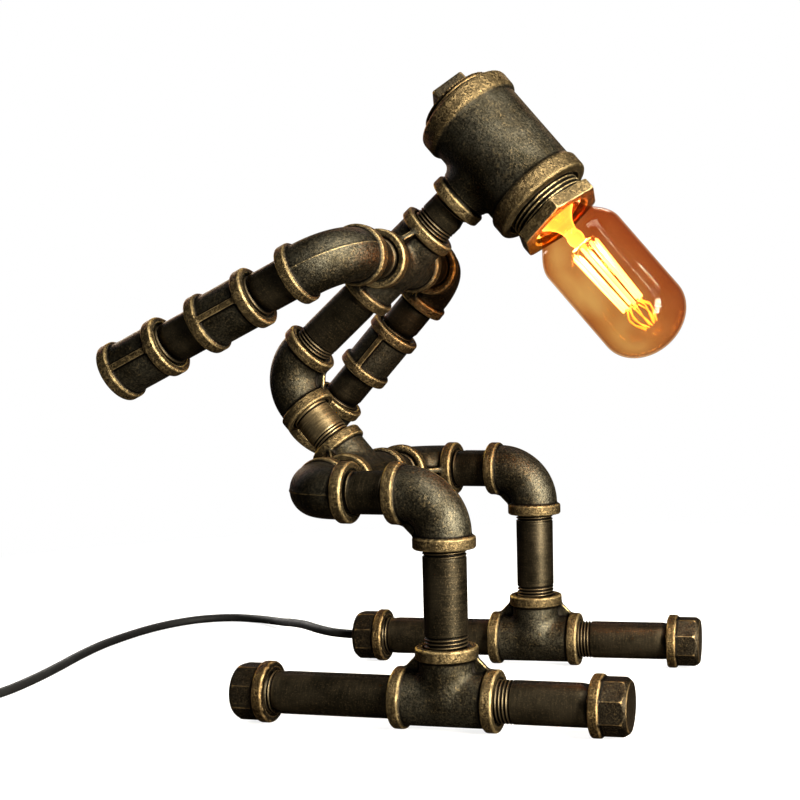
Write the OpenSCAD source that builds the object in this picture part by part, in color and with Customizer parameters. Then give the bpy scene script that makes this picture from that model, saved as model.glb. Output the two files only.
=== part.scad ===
// Desk lamp in the shape of a standing robot, put together from malleable
// iron pipe fittings and short threaded nipples.  The head is a reducing tee
// with a screw-in lampholder and a tubular bulb.
// Frame: +Z up, +X the way the robot looks, +Y its left side.  The origin is
// on the floor, midway between the two upright shins.  All sizes are in mm.

/* [Pipe] */
// Outside diameter of the pipe
pipe_od = 21.3; // [20:0.1:22]
// Bore of the pipe
pipe_bore = 15.8; // [13:0.1:17]
// Length of a nipple end that is screwed into a fitting
thread_in = 12.5; // [10:0.5:12.5]
// Chamfer at each end of a nipple
nipple_chamfer = 0.8; // [0.2:0.1:1]
// Diameter left inside an empty female thread
thread_minor_d = 18.63; // [18:0.01:19]

/* [Fittings] */
// From the centre of an elbow, tee or cross to its face
reach = 26.3; // [25.5:0.1:29]
// Outside diameter of the bead round each mouth
bead_od = 30.6; // [28.5:0.1:33]
// Width of the bead
bead_w = 6; // [4:0.5:7]
// Rounding of the bead's edges
bead_round = 1.2; // [0.4:0.1:1.6]
// Outside diameter of a fitting between its beads
body_od = 26.8; // [26:0.1:28]
// Bend radius of an elbow, on its centreline
bend_r = 19.8; // [18:0.1:20]
// Thickness of the web in the corner of a fitting
web_t = 2.6; // [1.5:0.1:5]
// Width of the moulding seam round an elbow
seam_w = 1.2; // [0.6:0.1:2.5]
// Height of the moulding seam
seam_h = 0.5; // [0.2:0.1:1]

/* [Couplings] */
// Length of a straight coupling
coupling_len = 34; // [30:0.5:42]
// Width of the two ribs along a coupling
rib_w = 3; // [1.5:0.5:5]
// Height of the ribs over the coupling's body
rib_h = 1.3; // [0.5:0.1:1.7]

/* [Caps] */
// Width of a cap's round rim
cap_rim_w = 5.5; // [4:0.5:8]
// Across the flats of a cap's octagonal end
cap_flats = 26.6; // [25:0.1:28]
// Length of the octagonal end
cap_end_len = 13; // [11:0.5:18]
// Chamfer round the octagonal end
cap_chamfer = 2; // [0.5:0.5:3]
// Depth of a cap's bore
cap_depth = 14; // [13:0.5:14.5]

/* [Stance] */
// Bare length of the thigh nipples
thigh_gap = 20.5; // [12:0.5:40]
// Bare length of the two nipples between the legs
hip_gap = 20.5; // [12:0.5:40]
// Bare length of the waist nipple
waist_gap = 20.5; // [12:0.5:40]
// Bare length of the shoulder nipples
shoulder_gap = 20.5; // [14:0.5:40]
// Bare length of the upper arm nipples
upper_arm_gap = 20.5; // [10:0.5:30]
// Bare length of the forearm nipples
forearm_gap = 20.5; // [10:0.5:30]
// Bare length of the right toe nipple
toe_gap_r = 46; // [30:0.5:60]
// Bare length of the left toe nipple
toe_gap_l = 52; // [30:0.5:60]
// Bare length of the heel nipples
heel_gap = 64.5; // [50:0.5:80]
// Bare length of the shin pipes
shin_gap = 47.5; // [35:0.5:70]
// Bare length of the torso pipe
torso_gap = 40; // [30:0.5:60]
// Bare length of the neck nipple
neck_gap = 17; // [12:0.5:30]
// Lean of the torso above the horizontal, in degrees
torso_lean = 41; // [30:1:55]
// How far the right foot turns its toes to the left, in degrees
toe_turn_r = 2; // [-8:1:8]
// How far the left foot turns its toes to the left, in degrees
toe_turn_l = 5; // [-2:1:8]
// Droop of the right arm below the horizontal, in degrees
arm_drop_r = 25; // [0:1:50]
// Droop of the left arm below the horizontal, in degrees
arm_drop_l = 47; // [0:1:50]

/* [Head] */
// From the centre of the head tee to the face of its branch
head_reach = 37; // [36:0.5:45]
// From the centre of the head tee to each open end
head_half = 33; // [31:0.5:40]
// Outside diameter of the head's beads
head_bead_od = 55.2; // [53:0.2:60]
// Width of the head's beads
head_bead_w = 9.5; // [7:0.5:12]
// Rounding of the head beads' edges
head_bead_round = 1.8; // [0.5:0.1:2.5]
// Outside diameter of the head between its beads
head_body_od = 51.4; // [50:0.2:54]
// Thread diameter in the head's ends
head_thread_d = 41.9; // [40:0.1:43]
// Diameter of the chamber inside the head
head_chamber_d = 40; // [37:0.5:41]
// Foot diameter of the cone where the neck branch leaves the head
head_cone_d = 35; // [30:0.5:40]

/* [Crown plug] */
// Bare length of the plug's thread
plug_gap = 5; // [2:0.5:8]
// Across the flats of the plug's square
plug_square = 19.5; // [14:0.5:24]
// Length of the square
plug_square_len = 8.5; // [8:0.5:16]
// Turn of the square about the head's axis, in degrees
plug_turn = 25; // [0:1:45]
// Wall left under the plug's hollow
plug_wall = 5; // [3:0.5:7]

/* [Bushing] */
// Bare length of the bushing's thread
bushing_gap = 7; // [4:0.5:12]
// Thickness of the hexagon
hex_len = 7; // [5:0.5:10]
// Across the flats of the hexagon
hex_flats = 44.5; // [43:0.1:48]
// Turn of the hexagon about the head's axis, in degrees
hex_turn = 14; // [0:1:59]
// Bore of the bushing
bushing_bore = 33; // [31:0.1:34]

/* [Lampholder] */
// Outside diameter of the insulating body
holder_od = 32.4; // [30:0.1:33]
// Diameter of the flange that bears on the bushing's inner end
holder_flange_d = 37; // [34:0.1:39]
// Thickness of that flange
holder_flange_t = 3; // [2:0.5:4]
// Depth of the holder's mouth under the hexagon's face
holder_recess = 4; // [2:0.5:8]
// Length of the insulating body
holder_len = 29; // [27:0.5:34]
// Wall of the screw shell
shell_wall = 0.9; // [0.4:0.1:1.2]
// Length of the screw shell
shell_len = 21; // [18:0.5:23]

/* [Bulb] */
// Outside diameter of the bulb's screw cap
bulb_cap_d = 26.2; // [25.5:0.1:26.5]
// Wall of the screw cap
bulb_cap_wall = 0.5; // [0.3:0.1:0.8]
// Length of the metal shell of the cap
bulb_cap_len = 19.5; // [17:0.5:21]
// Length of the insulating cone behind the shell
bulb_insulator_len = 5; // [3:0.5:5]
// How far the cap's rim lies under the hexagon's face
bulb_recess = 2.5; // [1:0.5:4]
// Diameter of the glass
bulb_od = 48; // [44:0.5:50]
// Length of the glass beyond the cap
bulb_glass_len = 86; // [75:1:110]
// Length of the rounded end of the glass
bulb_dome_len = 19.5; // [15:0.5:24]
// Length over which the glass widens from its neck
bulb_shoulder_len = 20; // [16:0.5:26]
// Thickness of the glass
glass_t = 0.8; // [0.5:0.1:1.2]
// Filament sticks in the bundle
stick_count = 8; // [4:1:10]
// Diameter of a filament stick
stick_d = 1.8; // [1:0.1:2.2]
// Circle of the sticks at the cap end
stick_circle_near = 15.5; // [12:0.5:18]
// Circle of the sticks at the far end
stick_circle_far = 12; // [10:0.5:16]
// Length of the bundle
stick_len = 38; // [30:1:42]

/* [Cord] */
// Diameter of the mains cord
cord_d = 5.4; // [4.5:0.1:6]
// Diameter of the lead inside the pipes
lead_d = 4; // [3:0.1:5]
// Bend radius of the lead inside the fittings
lead_bend = 15; // [13:0.5:16]
// Diameter of the cord hole in the heel cap
outlet_d = 7.6; // [7:0.1:9]
// Diameter of the bush's outer flange
bush_flange_d = 9.4; // [9.2:0.1:11]
// Thickness of the bush's flanges
bush_flange_t = 1.6; // [1:0.1:2]
// Length of the bush's tail inside the heel
bush_tail = 20; // [12:1:30]
// Diameter of the coil across the middle of its turns
coil_mid_d = 58.2; // [54:0.1:64]
// Turns beside each other in the coil
coil_columns = 3; // [2:1:4]
// Turns on top of each other in the coil
coil_rows = 3; // [2:1:4]

/* [Cord switch] */
// Length of the switch housing
switch_l = 60; // [54:1:70]
// Width of the switch housing
switch_w = 26; // [23:0.5:32]
// Height of the switch housing
switch_h = 16; // [15:0.5:20]
// Corner radius of the switch housing
switch_r = 8; // [3:0.5:10]
// Length of the rocker
rocker_l = 21; // [18:0.5:24]
// Width of the rocker
rocker_w = 12; // [9:0.5:14]
// Diameter of the rocker's pivots
pivot_d = 2.4; // [2:0.1:3]
// Tilt of the rocker to either side, in degrees
rocker_tilt = 8; // [5:1:8]

/* [Mains plug] */
// Length of the plug's body
plug_l = 36; // [32:1:42]
// Width of the plug's body at the pins
plug_w = 27; // [25:0.5:34]
// Thickness of the plug's body
plug_t = 14; // [13:0.5:18]
// Length of the tapered sleeve behind the plug
sleeve_l = 20; // [16:1:30]
// Diameter of a pin
pin_d = 4; // [3.8:0.1:4.8]
// Length of a pin
pin_l = 19; // [15:0.5:20]
// Distance between the pins
pin_pitch = 18.6; // [17.5:0.1:19]

/* [Clearances] */
// Radial clearance of a nipple in its thread
thread_fit = 0.05; // [0.01:0.01:0.1]
// Radial clearance of the bulb's cap in the screw shell
bulb_fit = 0.06; // [0.01:0.01:0.1]
// Radial clearance of a pivot in its hole
pivot_fit = 0.05; // [0.01:0.01:0.1]
// Radial clearance of a piece that is slipped in and held
slip_fit = 0.1; // [0.05:0.05:0.3]
// Gap between pieces that move past each other
moving_gap = 0.3; // [0.2:0.1:0.5]

/* [Hidden] */
$fn = 96;

RIGHT = -1;
LEFT = 1;
OVER = 1; // how far a cut runs past the face it opens
BURY = 2; // how far a web or rib is sunk into the body under it

iron = "#4a4336";
iron_dark = "#3a342b";
pipe_brown = "#4b3524";
brass_yellow = "#c9a24b";
porcelain = "#e9e4d6";
black_rubber = "#191919";
amber_glass = "#b8702c";
nickel = "#c4c1b8";

// Places of the fittings' centres
foot_z = bead_od / 2;
knee_z = foot_z + 2 * reach + shin_gap;
leg_y = 2 * reach + hip_gap;
arm_y = 2 * reach + shoulder_gap;
hip_x = -(2 * reach + thigh_gap);
hip_c = [hip_x, 0, knee_z];
torso_dir = [cos(torso_lean), 0, sin(torso_lean)];
waist_dir = [-sin(torso_lean), 0, cos(torso_lean)];
waist_span = 2 * reach + waist_gap;
torso_span = 2 * reach + torso_gap;
head_x = torso_span + reach + neck_gap + head_reach;
back_c = hip_c + waist_span * waist_dir;
shoulder_c = back_c + torso_span * torso_dir;
head_c = back_c + head_x * torso_dir;
head_dir = -waist_dir;
cap_len = cap_rim_w + cap_end_len;

// Places along an arm, from the centre of its elbow
elbow_coupling_x = reach + upper_arm_gap;
forearm_x = elbow_coupling_x + coupling_len;
hand_coupling_x = forearm_x + forearm_gap;

// Places along the head's axis, from its centre towards the bulb
bushing_back = head_half - thread_in;
hex_back = head_half + bushing_gap;
hex_front = hex_back + hex_len;
bulb_rim = hex_front - bulb_recess;
bulb_shell_back = bulb_rim - bulb_cap_len;
bulb_tip_t = 1.2;
insulator_step = 1.5; // how far the insulator reaches into the screw cap
insulator_back = bulb_shell_back - bulb_insulator_len;
bulb_back = insulator_back - bulb_tip_t;
holder_front = hex_front - holder_recess;
holder_back = holder_front - holder_len;
shell_r = bulb_cap_d / 2 + bulb_fit;
shell_front = holder_front - 1;
shell_back = shell_front - shell_len;
contact_front = bulb_back - moving_gap;
contact_back = contact_front - 2.5;

function unit(v) = v / norm(v);

function toe_gap(side) = side == RIGHT ? toe_gap_r : toe_gap_l;

// Points of an arc, for a profile
function arc(centre, r, from, to, steps) =
  [for (i = [0:steps])
    let(a = from + (to - from) * i / steps)
    centre + r * [cos(a), sin(a)]];

// ---- Swept tubes ------------------------------------------------------

function tangent(p, i) =
  unit(p[min(i + 1, len(p) - 1)] - p[max(i - 1, 0)]);

// A side vector for each point, carried along the route without twisting
function sides(p, s, i = 0) =
  i == len(p) ? [] :
  let(t = tangent(p, i), n = unit(s - (s * t) * t))
  concat([n], sides(p, n, i + 1));

// One closed tube of diameter d along the points p
module tube(p, d, first_side, n = 8) {
  last = len(p) - 1;
  s = sides(p, first_side);
  rings = [for (i = [0:last])
    let(t = tangent(p, i), u = s[i], v = cross(t, u))
    for (k = [0:n - 1])
      p[i] + d / 2 * (cos(360 * k / n) * u + sin(360 * k / n) * v)];
  start_cap = [for (k = [0:n - 1]) k];
  end_cap = [for (k = [n - 1:-1:0]) last * n + k];
  walls = [for (i = [0:last - 1], k = [0:n - 1])
    let(a = i * n + k, b = i * n + (k + 1) % n)
    each [[a, a + n, b + n], [a, b + n, b]]];
  polyhedron(points = rings, faces = concat([start_cap, end_cap], walls));
}

// Two points on the smooth curve from p[i] to p[i + 1]
function spline_pair(p, i) =
  let(
    a = p[max(i - 1, 0)],
    b = p[i],
    c = p[i + 1],
    d = p[min(i + 2, len(p) - 1)]
  )
  [b, (9 * (b + c) - a - d) / 16];

// The route with one more point in the middle of every span
function smooth(p) =
  concat([for (i = [0:len(p) - 2]) each spline_pair(p, i)], [p[len(p) - 1]]);

// The route with every square corner rounded to radius r
function rounded(p, r, steps = 5) =
  [for (i = [0:len(p) - 1])
    each (i == 0 || i == len(p) - 1) ? [p[i]] :
      let(
        a = unit(p[i] - p[i - 1]),
        b = unit(p[i + 1] - p[i]),
        c = p[i] - r * a + r * b
      )
      [for (k = [0:steps])
        c + r * (sin(90 * k / steps) * a - cos(90 * k / steps) * b)]];

// ---- Frames -----------------------------------------------------------

// Turns +Z to the direction v
module aim(v) {
  rotate([0, acos(v.z / norm(v)), atan2(v.y, v.x)]) children();
}

// A foot: +X is its toe, the origin is the centre of its tee
module foot(side) {
  turn = side == RIGHT ? toe_turn_r : toe_turn_l;
  translate([0, side * leg_y, foot_z]) rotate([0, 0, turn]) children();
}

// The torso: origin at the hip tee, +Z up the waist, +X up the back
module torso() {
  translate(hip_c) rotate([0, -torso_lean, 0]) children();
}

// An arm: origin at its elbow's centre, +X along the arm
module arm(side) {
  drop = side == RIGHT ? arm_drop_r : arm_drop_l;
  translate(shoulder_c + [0, side * arm_y, 0])
    rotate([0, 180 - drop, 0])
      children();
}

// The head: origin at the centre of its tee, +Z towards the bulb,
// -X down the neck
module head() {
  torso()
    translate([head_x, 0, waist_span])
      rotate([180, 0, 0])
        children();
}

// ---- Fittings ---------------------------------------------------------

// A disc of width w on Z = 0 with rounded edges
module bead(d, w, r) {
  rotate_extrude()
    polygon(concat(
      [[0, 0]],
      arc([d / 2 - r, r], r, -90, 0, 3),
      arc([d / 2 - r, w - r], r, 0, 90, 3),
      [[0, w]]
    ));
}

// One arm of a fitting along +Z, with its bead
module port(from = 0) {
  translate([0, 0, from]) cylinder(h = reach - from - 1, d = body_od);
  translate([0, 0, reach - bead_w]) bead(bead_od, bead_w, bead_round);
}

// The thread and the way through one arm of a fitting
module port_bore(length = reach, from = 0) {
  translate([0, 0, length - thread_in])
    cylinder(h = thread_in + OVER, d = pipe_od + 2 * thread_fit);
  translate([0, 0, from])
    cylinder(h = length - from, d = pipe_bore);
}

// The flat web between the arms along +X and +Z
module corner_web() {
  near = body_od / 2 - BURY;
  edge = body_od / 2 + 0.2;
  far = reach - bead_w / 2;
  rotate([90, 0, 0])
    translate([0, 0, -web_t / 2])
      linear_extrude(web_t)
        polygon([[near, near], [far, near], [far, edge], [edge, far], [near, far]]);
}

// A quarter ring in the XZ plane that joins the arms along +X and +Z
module quarter_bend() {
  translate([bend_r, 0, bend_r])
    rotate([90, 0, 0])
      rotate([0, 0, 180])
        rotate_extrude(angle = 90)
          translate([bend_r, 0])
            children();
}

// An elbow with its arms along +X and +Z
module elbow() {
  difference() {
    union() {
      quarter_bend() circle(d = body_od);
      quarter_bend()
        translate([body_od / 2 - BURY, -seam_w / 2])
          square([BURY + seam_h, seam_w]);
      port(bend_r);
      rotate([0, 90, 0]) port(bend_r);
      corner_web();
    }
    quarter_bend() circle(d = pipe_bore);
    port_bore(reach, bend_r);
    rotate([0, 90, 0]) port_bore(reach, bend_r);
  }
}

// A tee with its run along X and its branch along +Z
module tee() {
  difference() {
    union() {
      port();
      for (a = [90, -90])
        rotate([0, a, 0]) port();
      corner_web();
      mirror([1, 0, 0]) corner_web();
    }
    port_bore();
    for (a = [90, -90])
      rotate([0, a, 0]) port_bore();
  }
}

// A cross with its arms along X and Z
module four_way() {
  difference() {
    union() {
      for (a = [0:90:270])
        rotate([0, a, 0]) {
          port();
          corner_web();
        }
    }
    for (a = [0:90:270])
      rotate([0, a, 0]) port_bore();
  }
}

// A piece of pipe along +Z with both ends screwed in: its bare part is
// gap long and starts at Z = 0
module nipple(gap) {
  length = gap + 2 * thread_in;
  ro = pipe_od / 2;
  ri = pipe_bore / 2;
  c = nipple_chamfer;
  translate([0, 0, -thread_in])
    rotate_extrude()
      polygon([
        [ri, 0], [ro - c, 0], [ro, c],
        [ro, length - c], [ro - c, length], [ri, length]
      ]);
}

// A straight coupling along +Z from Z = 0; an open one is left bare of
// pipe at its far end
module coupling(is_open) {
  wide = pipe_od + 2 * thread_fit;
  far_bore = is_open ? thread_minor_d : wide;
  far_depth = is_open ? coupling_len - thread_in : thread_in;
  difference() {
    union() {
      translate([0, 0, 1]) cylinder(h = coupling_len - 2, d = body_od);
      bead(bead_od, bead_w, bead_round);
      translate([0, 0, coupling_len - bead_w])
        bead(bead_od, bead_w, bead_round);
      for (s = [-1, 1])
        translate([0, s * (body_od / 2 + rib_h - BURY) / 2, coupling_len / 2])
          cube([rib_w, body_od / 2 + rib_h + BURY, coupling_len - bead_w],
            center = true);
    }
    translate([0, 0, -OVER]) cylinder(h = coupling_len + 2 * OVER, d = pipe_bore);
    translate([0, 0, -OVER]) cylinder(h = thread_in + OVER, d = wide);
    translate([0, 0, coupling_len - far_depth])
      cylinder(h = far_depth + OVER, d = far_bore);
  }
}

// A cap along +Z with its mouth at Z = 0; outlet is the diameter of a
// hole through its end, or 0
module cap(outlet = 0) {
  corner_d = cap_flats / cos(22.5);
  difference() {
    union() {
      bead(bead_od, cap_rim_w, bead_round);
      intersection() {
        rotate([0, 0, 22.5])
          translate([0, 0, 1])
            cylinder(h = cap_len - 1, d = corner_d, $fn = 8);
        rotate_extrude()
          polygon([
            [0, 0], [corner_d / 2 + 1, 0],
            [corner_d / 2 + 1, cap_len - cap_chamfer - 0.5],
            [cap_flats / 2 - cap_chamfer / 2, cap_len], [0, cap_len]
          ]);
      }
    }
    translate([0, 0, -OVER])
      cylinder(h = cap_depth + OVER, d = pipe_od + 2 * thread_fit);
    if (outlet > 0)
      translate([0, 0, cap_depth - OVER])
        cylinder(h = cap_len, d = outlet);
  }
}

// ---- Legs -------------------------------------------------------------

module foot_tee(side) {
  color(iron) foot(side) tee();
}

module toe_nipple(side) {
  color(pipe_brown)
    foot(side) translate([reach, 0, 0]) aim([1, 0, 0]) nipple(toe_gap(side));
}

module heel_nipple(side) {
  color(pipe_brown) foot(side) translate([-reach, 0, 0]) aim([-1, 0, 0]) nipple(heel_gap);
}

module toe_cap(side) {
  color(iron_dark)
    foot(side) translate([reach + toe_gap(side), 0, 0]) aim([1, 0, 0]) cap();
}

module heel_cap(side) {
  color(iron_dark)
    foot(side)
      translate([-(reach + heel_gap), 0, 0])
        aim([-1, 0, 0])
          cap(side == LEFT ? outlet_d : 0);
}

module shin_pipe(side) {
  color(pipe_brown) translate([0, side * leg_y, foot_z + reach]) nipple(shin_gap);
}

module knee_elbow(side) {
  color(iron) translate([0, side * leg_y, knee_z]) rotate([0, 180, 0]) elbow();
}

module thigh_nipple(side) {
  color(pipe_brown)
    translate([-reach, side * leg_y, knee_z]) aim([-1, 0, 0]) nipple(thigh_gap);
}

module hip_elbow(side) {
  color(iron)
    translate([hip_x, side * leg_y, knee_z]) rotate([90 * side, 0, 0]) elbow();
}

module hip_nipple(side) {
  color(pipe_brown)
    translate([hip_x, side * reach, knee_z]) aim([0, side, 0]) nipple(hip_gap);
}

// ---- Torso ------------------------------------------------------------

module hip_tee() {
  color(iron) torso() rotate([0, 0, 90]) tee();
}

module waist_nipple() {
  color(brass_yellow) torso() translate([0, 0, reach]) nipple(waist_gap);
}

module back_elbow() {
  color(iron) torso() translate([0, 0, waist_span]) rotate([180, 0, 0]) elbow();
}

module torso_pipe() {
  color(pipe_brown)
    torso() translate([reach, 0, waist_span]) aim([1, 0, 0]) nipple(torso_gap);
}

module shoulder_cross() {
  color(iron)
    torso() translate([torso_span, 0, waist_span]) rotate([90, 0, 0]) four_way();
}

module neck_nipple() {
  color(pipe_brown)
    torso()
      translate([torso_span + reach, 0, waist_span])
        aim([1, 0, 0])
          nipple(neck_gap);
}

// ---- Arms -------------------------------------------------------------

module shoulder_nipple(side) {
  color(pipe_brown)
    translate(shoulder_c + [0, side * reach, 0]) aim([0, side, 0]) nipple(shoulder_gap);
}

module shoulder_elbow(side) {
  color(iron) arm(side) rotate([90 * side, 0, 0]) elbow();
}

module upper_arm_nipple(side) {
  color(pipe_brown) arm(side) translate([reach, 0, 0]) aim([1, 0, 0]) nipple(upper_arm_gap);
}

module elbow_coupling(side) {
  color(iron)
    arm(side) translate([elbow_coupling_x, 0, 0]) aim([1, 0, 0]) coupling(false);
}

module forearm_nipple(side) {
  color(pipe_brown)
    arm(side) translate([forearm_x, 0, 0]) aim([1, 0, 0]) nipple(forearm_gap);
}

module hand_coupling(side) {
  color(iron)
    arm(side) translate([hand_coupling_x, 0, 0]) aim([1, 0, 0]) coupling(true);
}

// ---- Head -------------------------------------------------------------

module head_tee() {
  thread = head_thread_d + 2 * thread_fit;
  cone_x = head_reach - bead_w - 1.5;
  color(iron)
    head()
      difference() {
        union() {
          translate([0, 0, 1 - head_half])
            cylinder(h = 2 * head_half - 2, d = head_body_od);
          translate([0, 0, -head_half])
            bead(head_bead_od, head_bead_w, head_bead_round);
          translate([0, 0, head_half - head_bead_w])
            bead(head_bead_od, head_bead_w, head_bead_round);
          rotate([0, -90, 0]) {
            cylinder(h = head_reach - 1, d = body_od);
            translate([0, 0, head_reach - bead_w]) bead(bead_od, bead_w, bead_round);
            translate([0, 0, head_chamber_d / 2])
              cylinder(h = cone_x - head_chamber_d / 2, d1 = head_cone_d, d2 = body_od);
          }
        }
        translate([0, 0, -head_half - OVER])
          cylinder(h = 2 * head_half + 2 * OVER, d = head_chamber_d);
        for (s = [-1, 1])
          translate([0, 0, s * (head_half - (thread_in - OVER) / 2)])
            cylinder(h = thread_in + OVER, d = thread, center = true);
        rotate([0, -90, 0]) port_bore(head_reach);
      }
}

module crown_plug() {
  hollow_d = head_chamber_d - 2 * plug_wall;
  color(iron_dark)
    head()
      rotate([180, 0, 0])
        translate([0, 0, head_half])
          difference() {
            union() {
              translate([0, 0, -thread_in])
                bead(head_thread_d, thread_in + plug_gap, nipple_chamfer);
              rotate([0, 0, plug_turn])
                translate([0, 0, plug_gap - 1 + (plug_square_len + 1) / 2])
                  cube([plug_square, plug_square, plug_square_len + 1], center = true);
            }
            translate([0, 0, -thread_in - OVER])
              cylinder(h = thread_in + plug_gap + OVER - plug_wall, d = hollow_d);
          }
}

module lamp_bushing() {
  corner_d = hex_flats / cos(30);
  color(iron)
    head()
      difference() {
        union() {
          translate([0, 0, bushing_back])
            cylinder(h = hex_front - bushing_back - 1, d = head_thread_d);
          intersection() {
            translate([0, 0, hex_back])
              rotate([0, 0, hex_turn])
                cylinder(h = hex_len, d = corner_d, $fn = 6);
            translate([0, 0, hex_back])
              bead(corner_d, hex_len, 1.6);
          }
        }
        translate([0, 0, bushing_back - OVER])
          cylinder(h = hex_front - bushing_back + 2 * OVER, d = bushing_bore);
      }
}

module holder_body() {
  flange_front = bushing_back;
  color(porcelain)
    head()
      difference() {
        union() {
          translate([0, 0, holder_back])
            cylinder(h = holder_len, d = holder_od);
          translate([0, 0, flange_front - holder_flange_t])
            cylinder(h = holder_flange_t, d = holder_flange_d);
        }
        translate([0, 0, shell_back])
          cylinder(h = holder_len, r = shell_r + shell_wall + slip_fit);
        translate([0, 0, contact_back])
          cylinder(h = holder_len, d = holder_od / 2);
      }
}

module holder_shell() {
  color(brass_yellow)
    head()
      translate([0, 0, shell_back])
        difference() {
          cylinder(h = shell_len, r = shell_r + shell_wall);
          translate([0, 0, -OVER]) cylinder(h = shell_len + 2 * OVER, r = shell_r);
        }
}

module centre_contact() {
  spring_w = 5;
  color(brass_yellow)
    head()
      translate([0, 0, contact_back]) {
        cylinder(h = 1, d = holder_od / 2 - 2 * slip_fit);
        cylinder(h = contact_front - contact_back, d = spring_w);
      }
}

// ---- Bulb -------------------------------------------------------------

neck_r = bulb_cap_d / 2 + 0.1;
tail_r = bulb_cap_d / 2 - bulb_cap_wall - slip_fit;
tail_len = 5;
dome_start = bulb_glass_len - bulb_dome_len;

// Radius of the glass at a distance q beyond the cap's rim
function shoulder_r(q) =
  neck_r + (bulb_od / 2 - neck_r) * pow(sin(90 * pow(q / bulb_shoulder_len, 0.85)), 2);

// Outline of the glass, from its neck to its tip, drawn in by t
function glass_outline(t) =
  concat(
    [for (i = [0:10])
      let(q = bulb_shoulder_len * i / 10)
      [shoulder_r(q) - t, q]],
    [for (a = [0:7.5:90])
      [(bulb_od / 2 - t) * cos(a), dome_start + (bulb_dome_len - t) * sin(a)]]
  );

module bulb_glass() {
  outer = glass_outline(0);
  inner = glass_outline(glass_t);
  color(amber_glass, 0.5)
    head()
      translate([0, 0, bulb_rim])
        rotate_extrude()
          polygon(concat(
            [[tail_r - glass_t, -tail_len], [tail_r, -tail_len], [tail_r, 0]],
            outer,
            [for (i = [len(inner) - 1:-1:0]) inner[i]]
          ));
}

module bulb_cap() {
  color(nickel)
    head()
      translate([0, 0, bulb_shell_back])
        difference() {
          cylinder(h = bulb_cap_len, d = bulb_cap_d);
          translate([0, 0, -OVER])
            cylinder(h = bulb_cap_len + 2 * OVER, d = bulb_cap_d - 2 * bulb_cap_wall);
        }
}

module bulb_insulator() {
  color(black_rubber)
    head()
      translate([0, 0, insulator_back]) {
        cylinder(h = bulb_insulator_len, d1 = bulb_cap_d / 2, d2 = bulb_cap_d - 1);
        translate([0, 0, bulb_insulator_len - 1])
          cylinder(h = insulator_step + 1, d = bulb_cap_d - 2 * (bulb_cap_wall + slip_fit));
      }
}

module bulb_tip() {
  color(nickel)
    head()
      translate([0, 0, bulb_back])
        cylinder(h = bulb_tip_t, d1 = 8, d2 = 10);
}

stick_near_q = 21;
stem_rod_d = 3;
pinch_near_q = 15; // the flat pinch of the stem ends here
pinch_far_q = 17;

module bulb_stem() {
  flare_r = tail_r - glass_t - slip_fit;
  rod_r = stem_rod_d / 2;
  rod_end = stick_near_q + stick_len + 2;
  color(amber_glass, 0.5)
    head()
      translate([0, 0, bulb_rim])
        rotate_extrude()
          polygon([
            [0, -tail_len], [flare_r, -tail_len], [flare_r, 0.5 - tail_len],
            [7.5, 1], [4, 7], [3.4, 9.5], [4.2, 12], [4.2, pinch_near_q],
            [2.6, pinch_far_q], [rod_r, pinch_far_q + rod_r], [rod_r, rod_end],
            [0, rod_end]
          ]);
}

// A round spider on the stem that carries the ends of the sticks
module stick_spider(circle_d) {
  difference() {
    cylinder(h = 1, d = circle_d + stick_d);
    translate([0, 0, -OVER]) cylinder(h = 1 + 2 * OVER, d = stem_rod_d + 2 * slip_fit);
    for (k = [0:stick_count - 1])
      rotate([0, 0, (k + 0.5) * 360 / stick_count])
        translate([circle_d / 2, 0, -OVER])
          cylinder(h = 1 + 2 * OVER, d = stick_d * 1.4);
  }
}

module bulb_filaments() {
  near_r = stick_circle_near / 2;
  far_r = stick_circle_far / 2;
  color("#ffd070")
    head()
      translate([0, 0, bulb_rim + stick_near_q]) {
        translate([0, 0, -1]) stick_spider(stick_circle_near);
        translate([0, 0, stick_len]) stick_spider(stick_circle_far);
        for (k = [0:stick_count - 1])
          rotate([0, 0, k * 360 / stick_count])
            translate([near_r, 0, -0.5])
              aim([far_r - near_r, 0, stick_len + 1])
                cylinder(h = stick_len + 1, d = stick_d);
      }
}

// ---- Wiring inside the pipes ------------------------------------------

heel_dir = [-cos(toe_turn_l), -sin(toe_turn_l), 0];
foot_c = [0, leg_y, foot_z];
heel_face = foot_c + (reach + heel_gap + cap_len) * heel_dir;
bush_inner_t = cap_len - cap_depth;
lead_start = heel_face - (bush_inner_t + bush_flange_t + bush_tail) * heel_dir;
neck_mouth = head_c - (head_reach - thread_in) * torso_dir;

module lead_lower() {
  route = [
    lead_start, foot_c, [0, leg_y, knee_z], [hip_x, leg_y, knee_z],
    hip_c, back_c, neck_mouth - moving_gap / 2 * torso_dir
  ];
  color(black_rubber) tube(rounded(route, lead_bend), lead_d, [0, 0, 1]);
}

module lead_upper() {
  route = [
    neck_mouth + moving_gap / 2 * torso_dir, head_c,
    head_c + holder_back * head_dir
  ];
  upper_bend = min(lead_bend, holder_back - 1);
  color(black_rubber) tube(rounded(route, upper_bend), lead_d, [0, 1, 0]);
}

// ---- Cord and what is on it -------------------------------------------

cord_z = cord_d / 2;
bush_proud = bush_flange_t;
cord_exit = heel_face + bush_proud * heel_dir;
switch_c = [-261, -131, 0];
switch_cord_z = 6;
collar_d = 9;
collar_l = 5;
switch_end = switch_l / 2 + collar_l;
coil_c = [-295.5, -215, 0];
plug_c = [-319, -138, 0];
straight = 4; // straight run of the cord at each end

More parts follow.
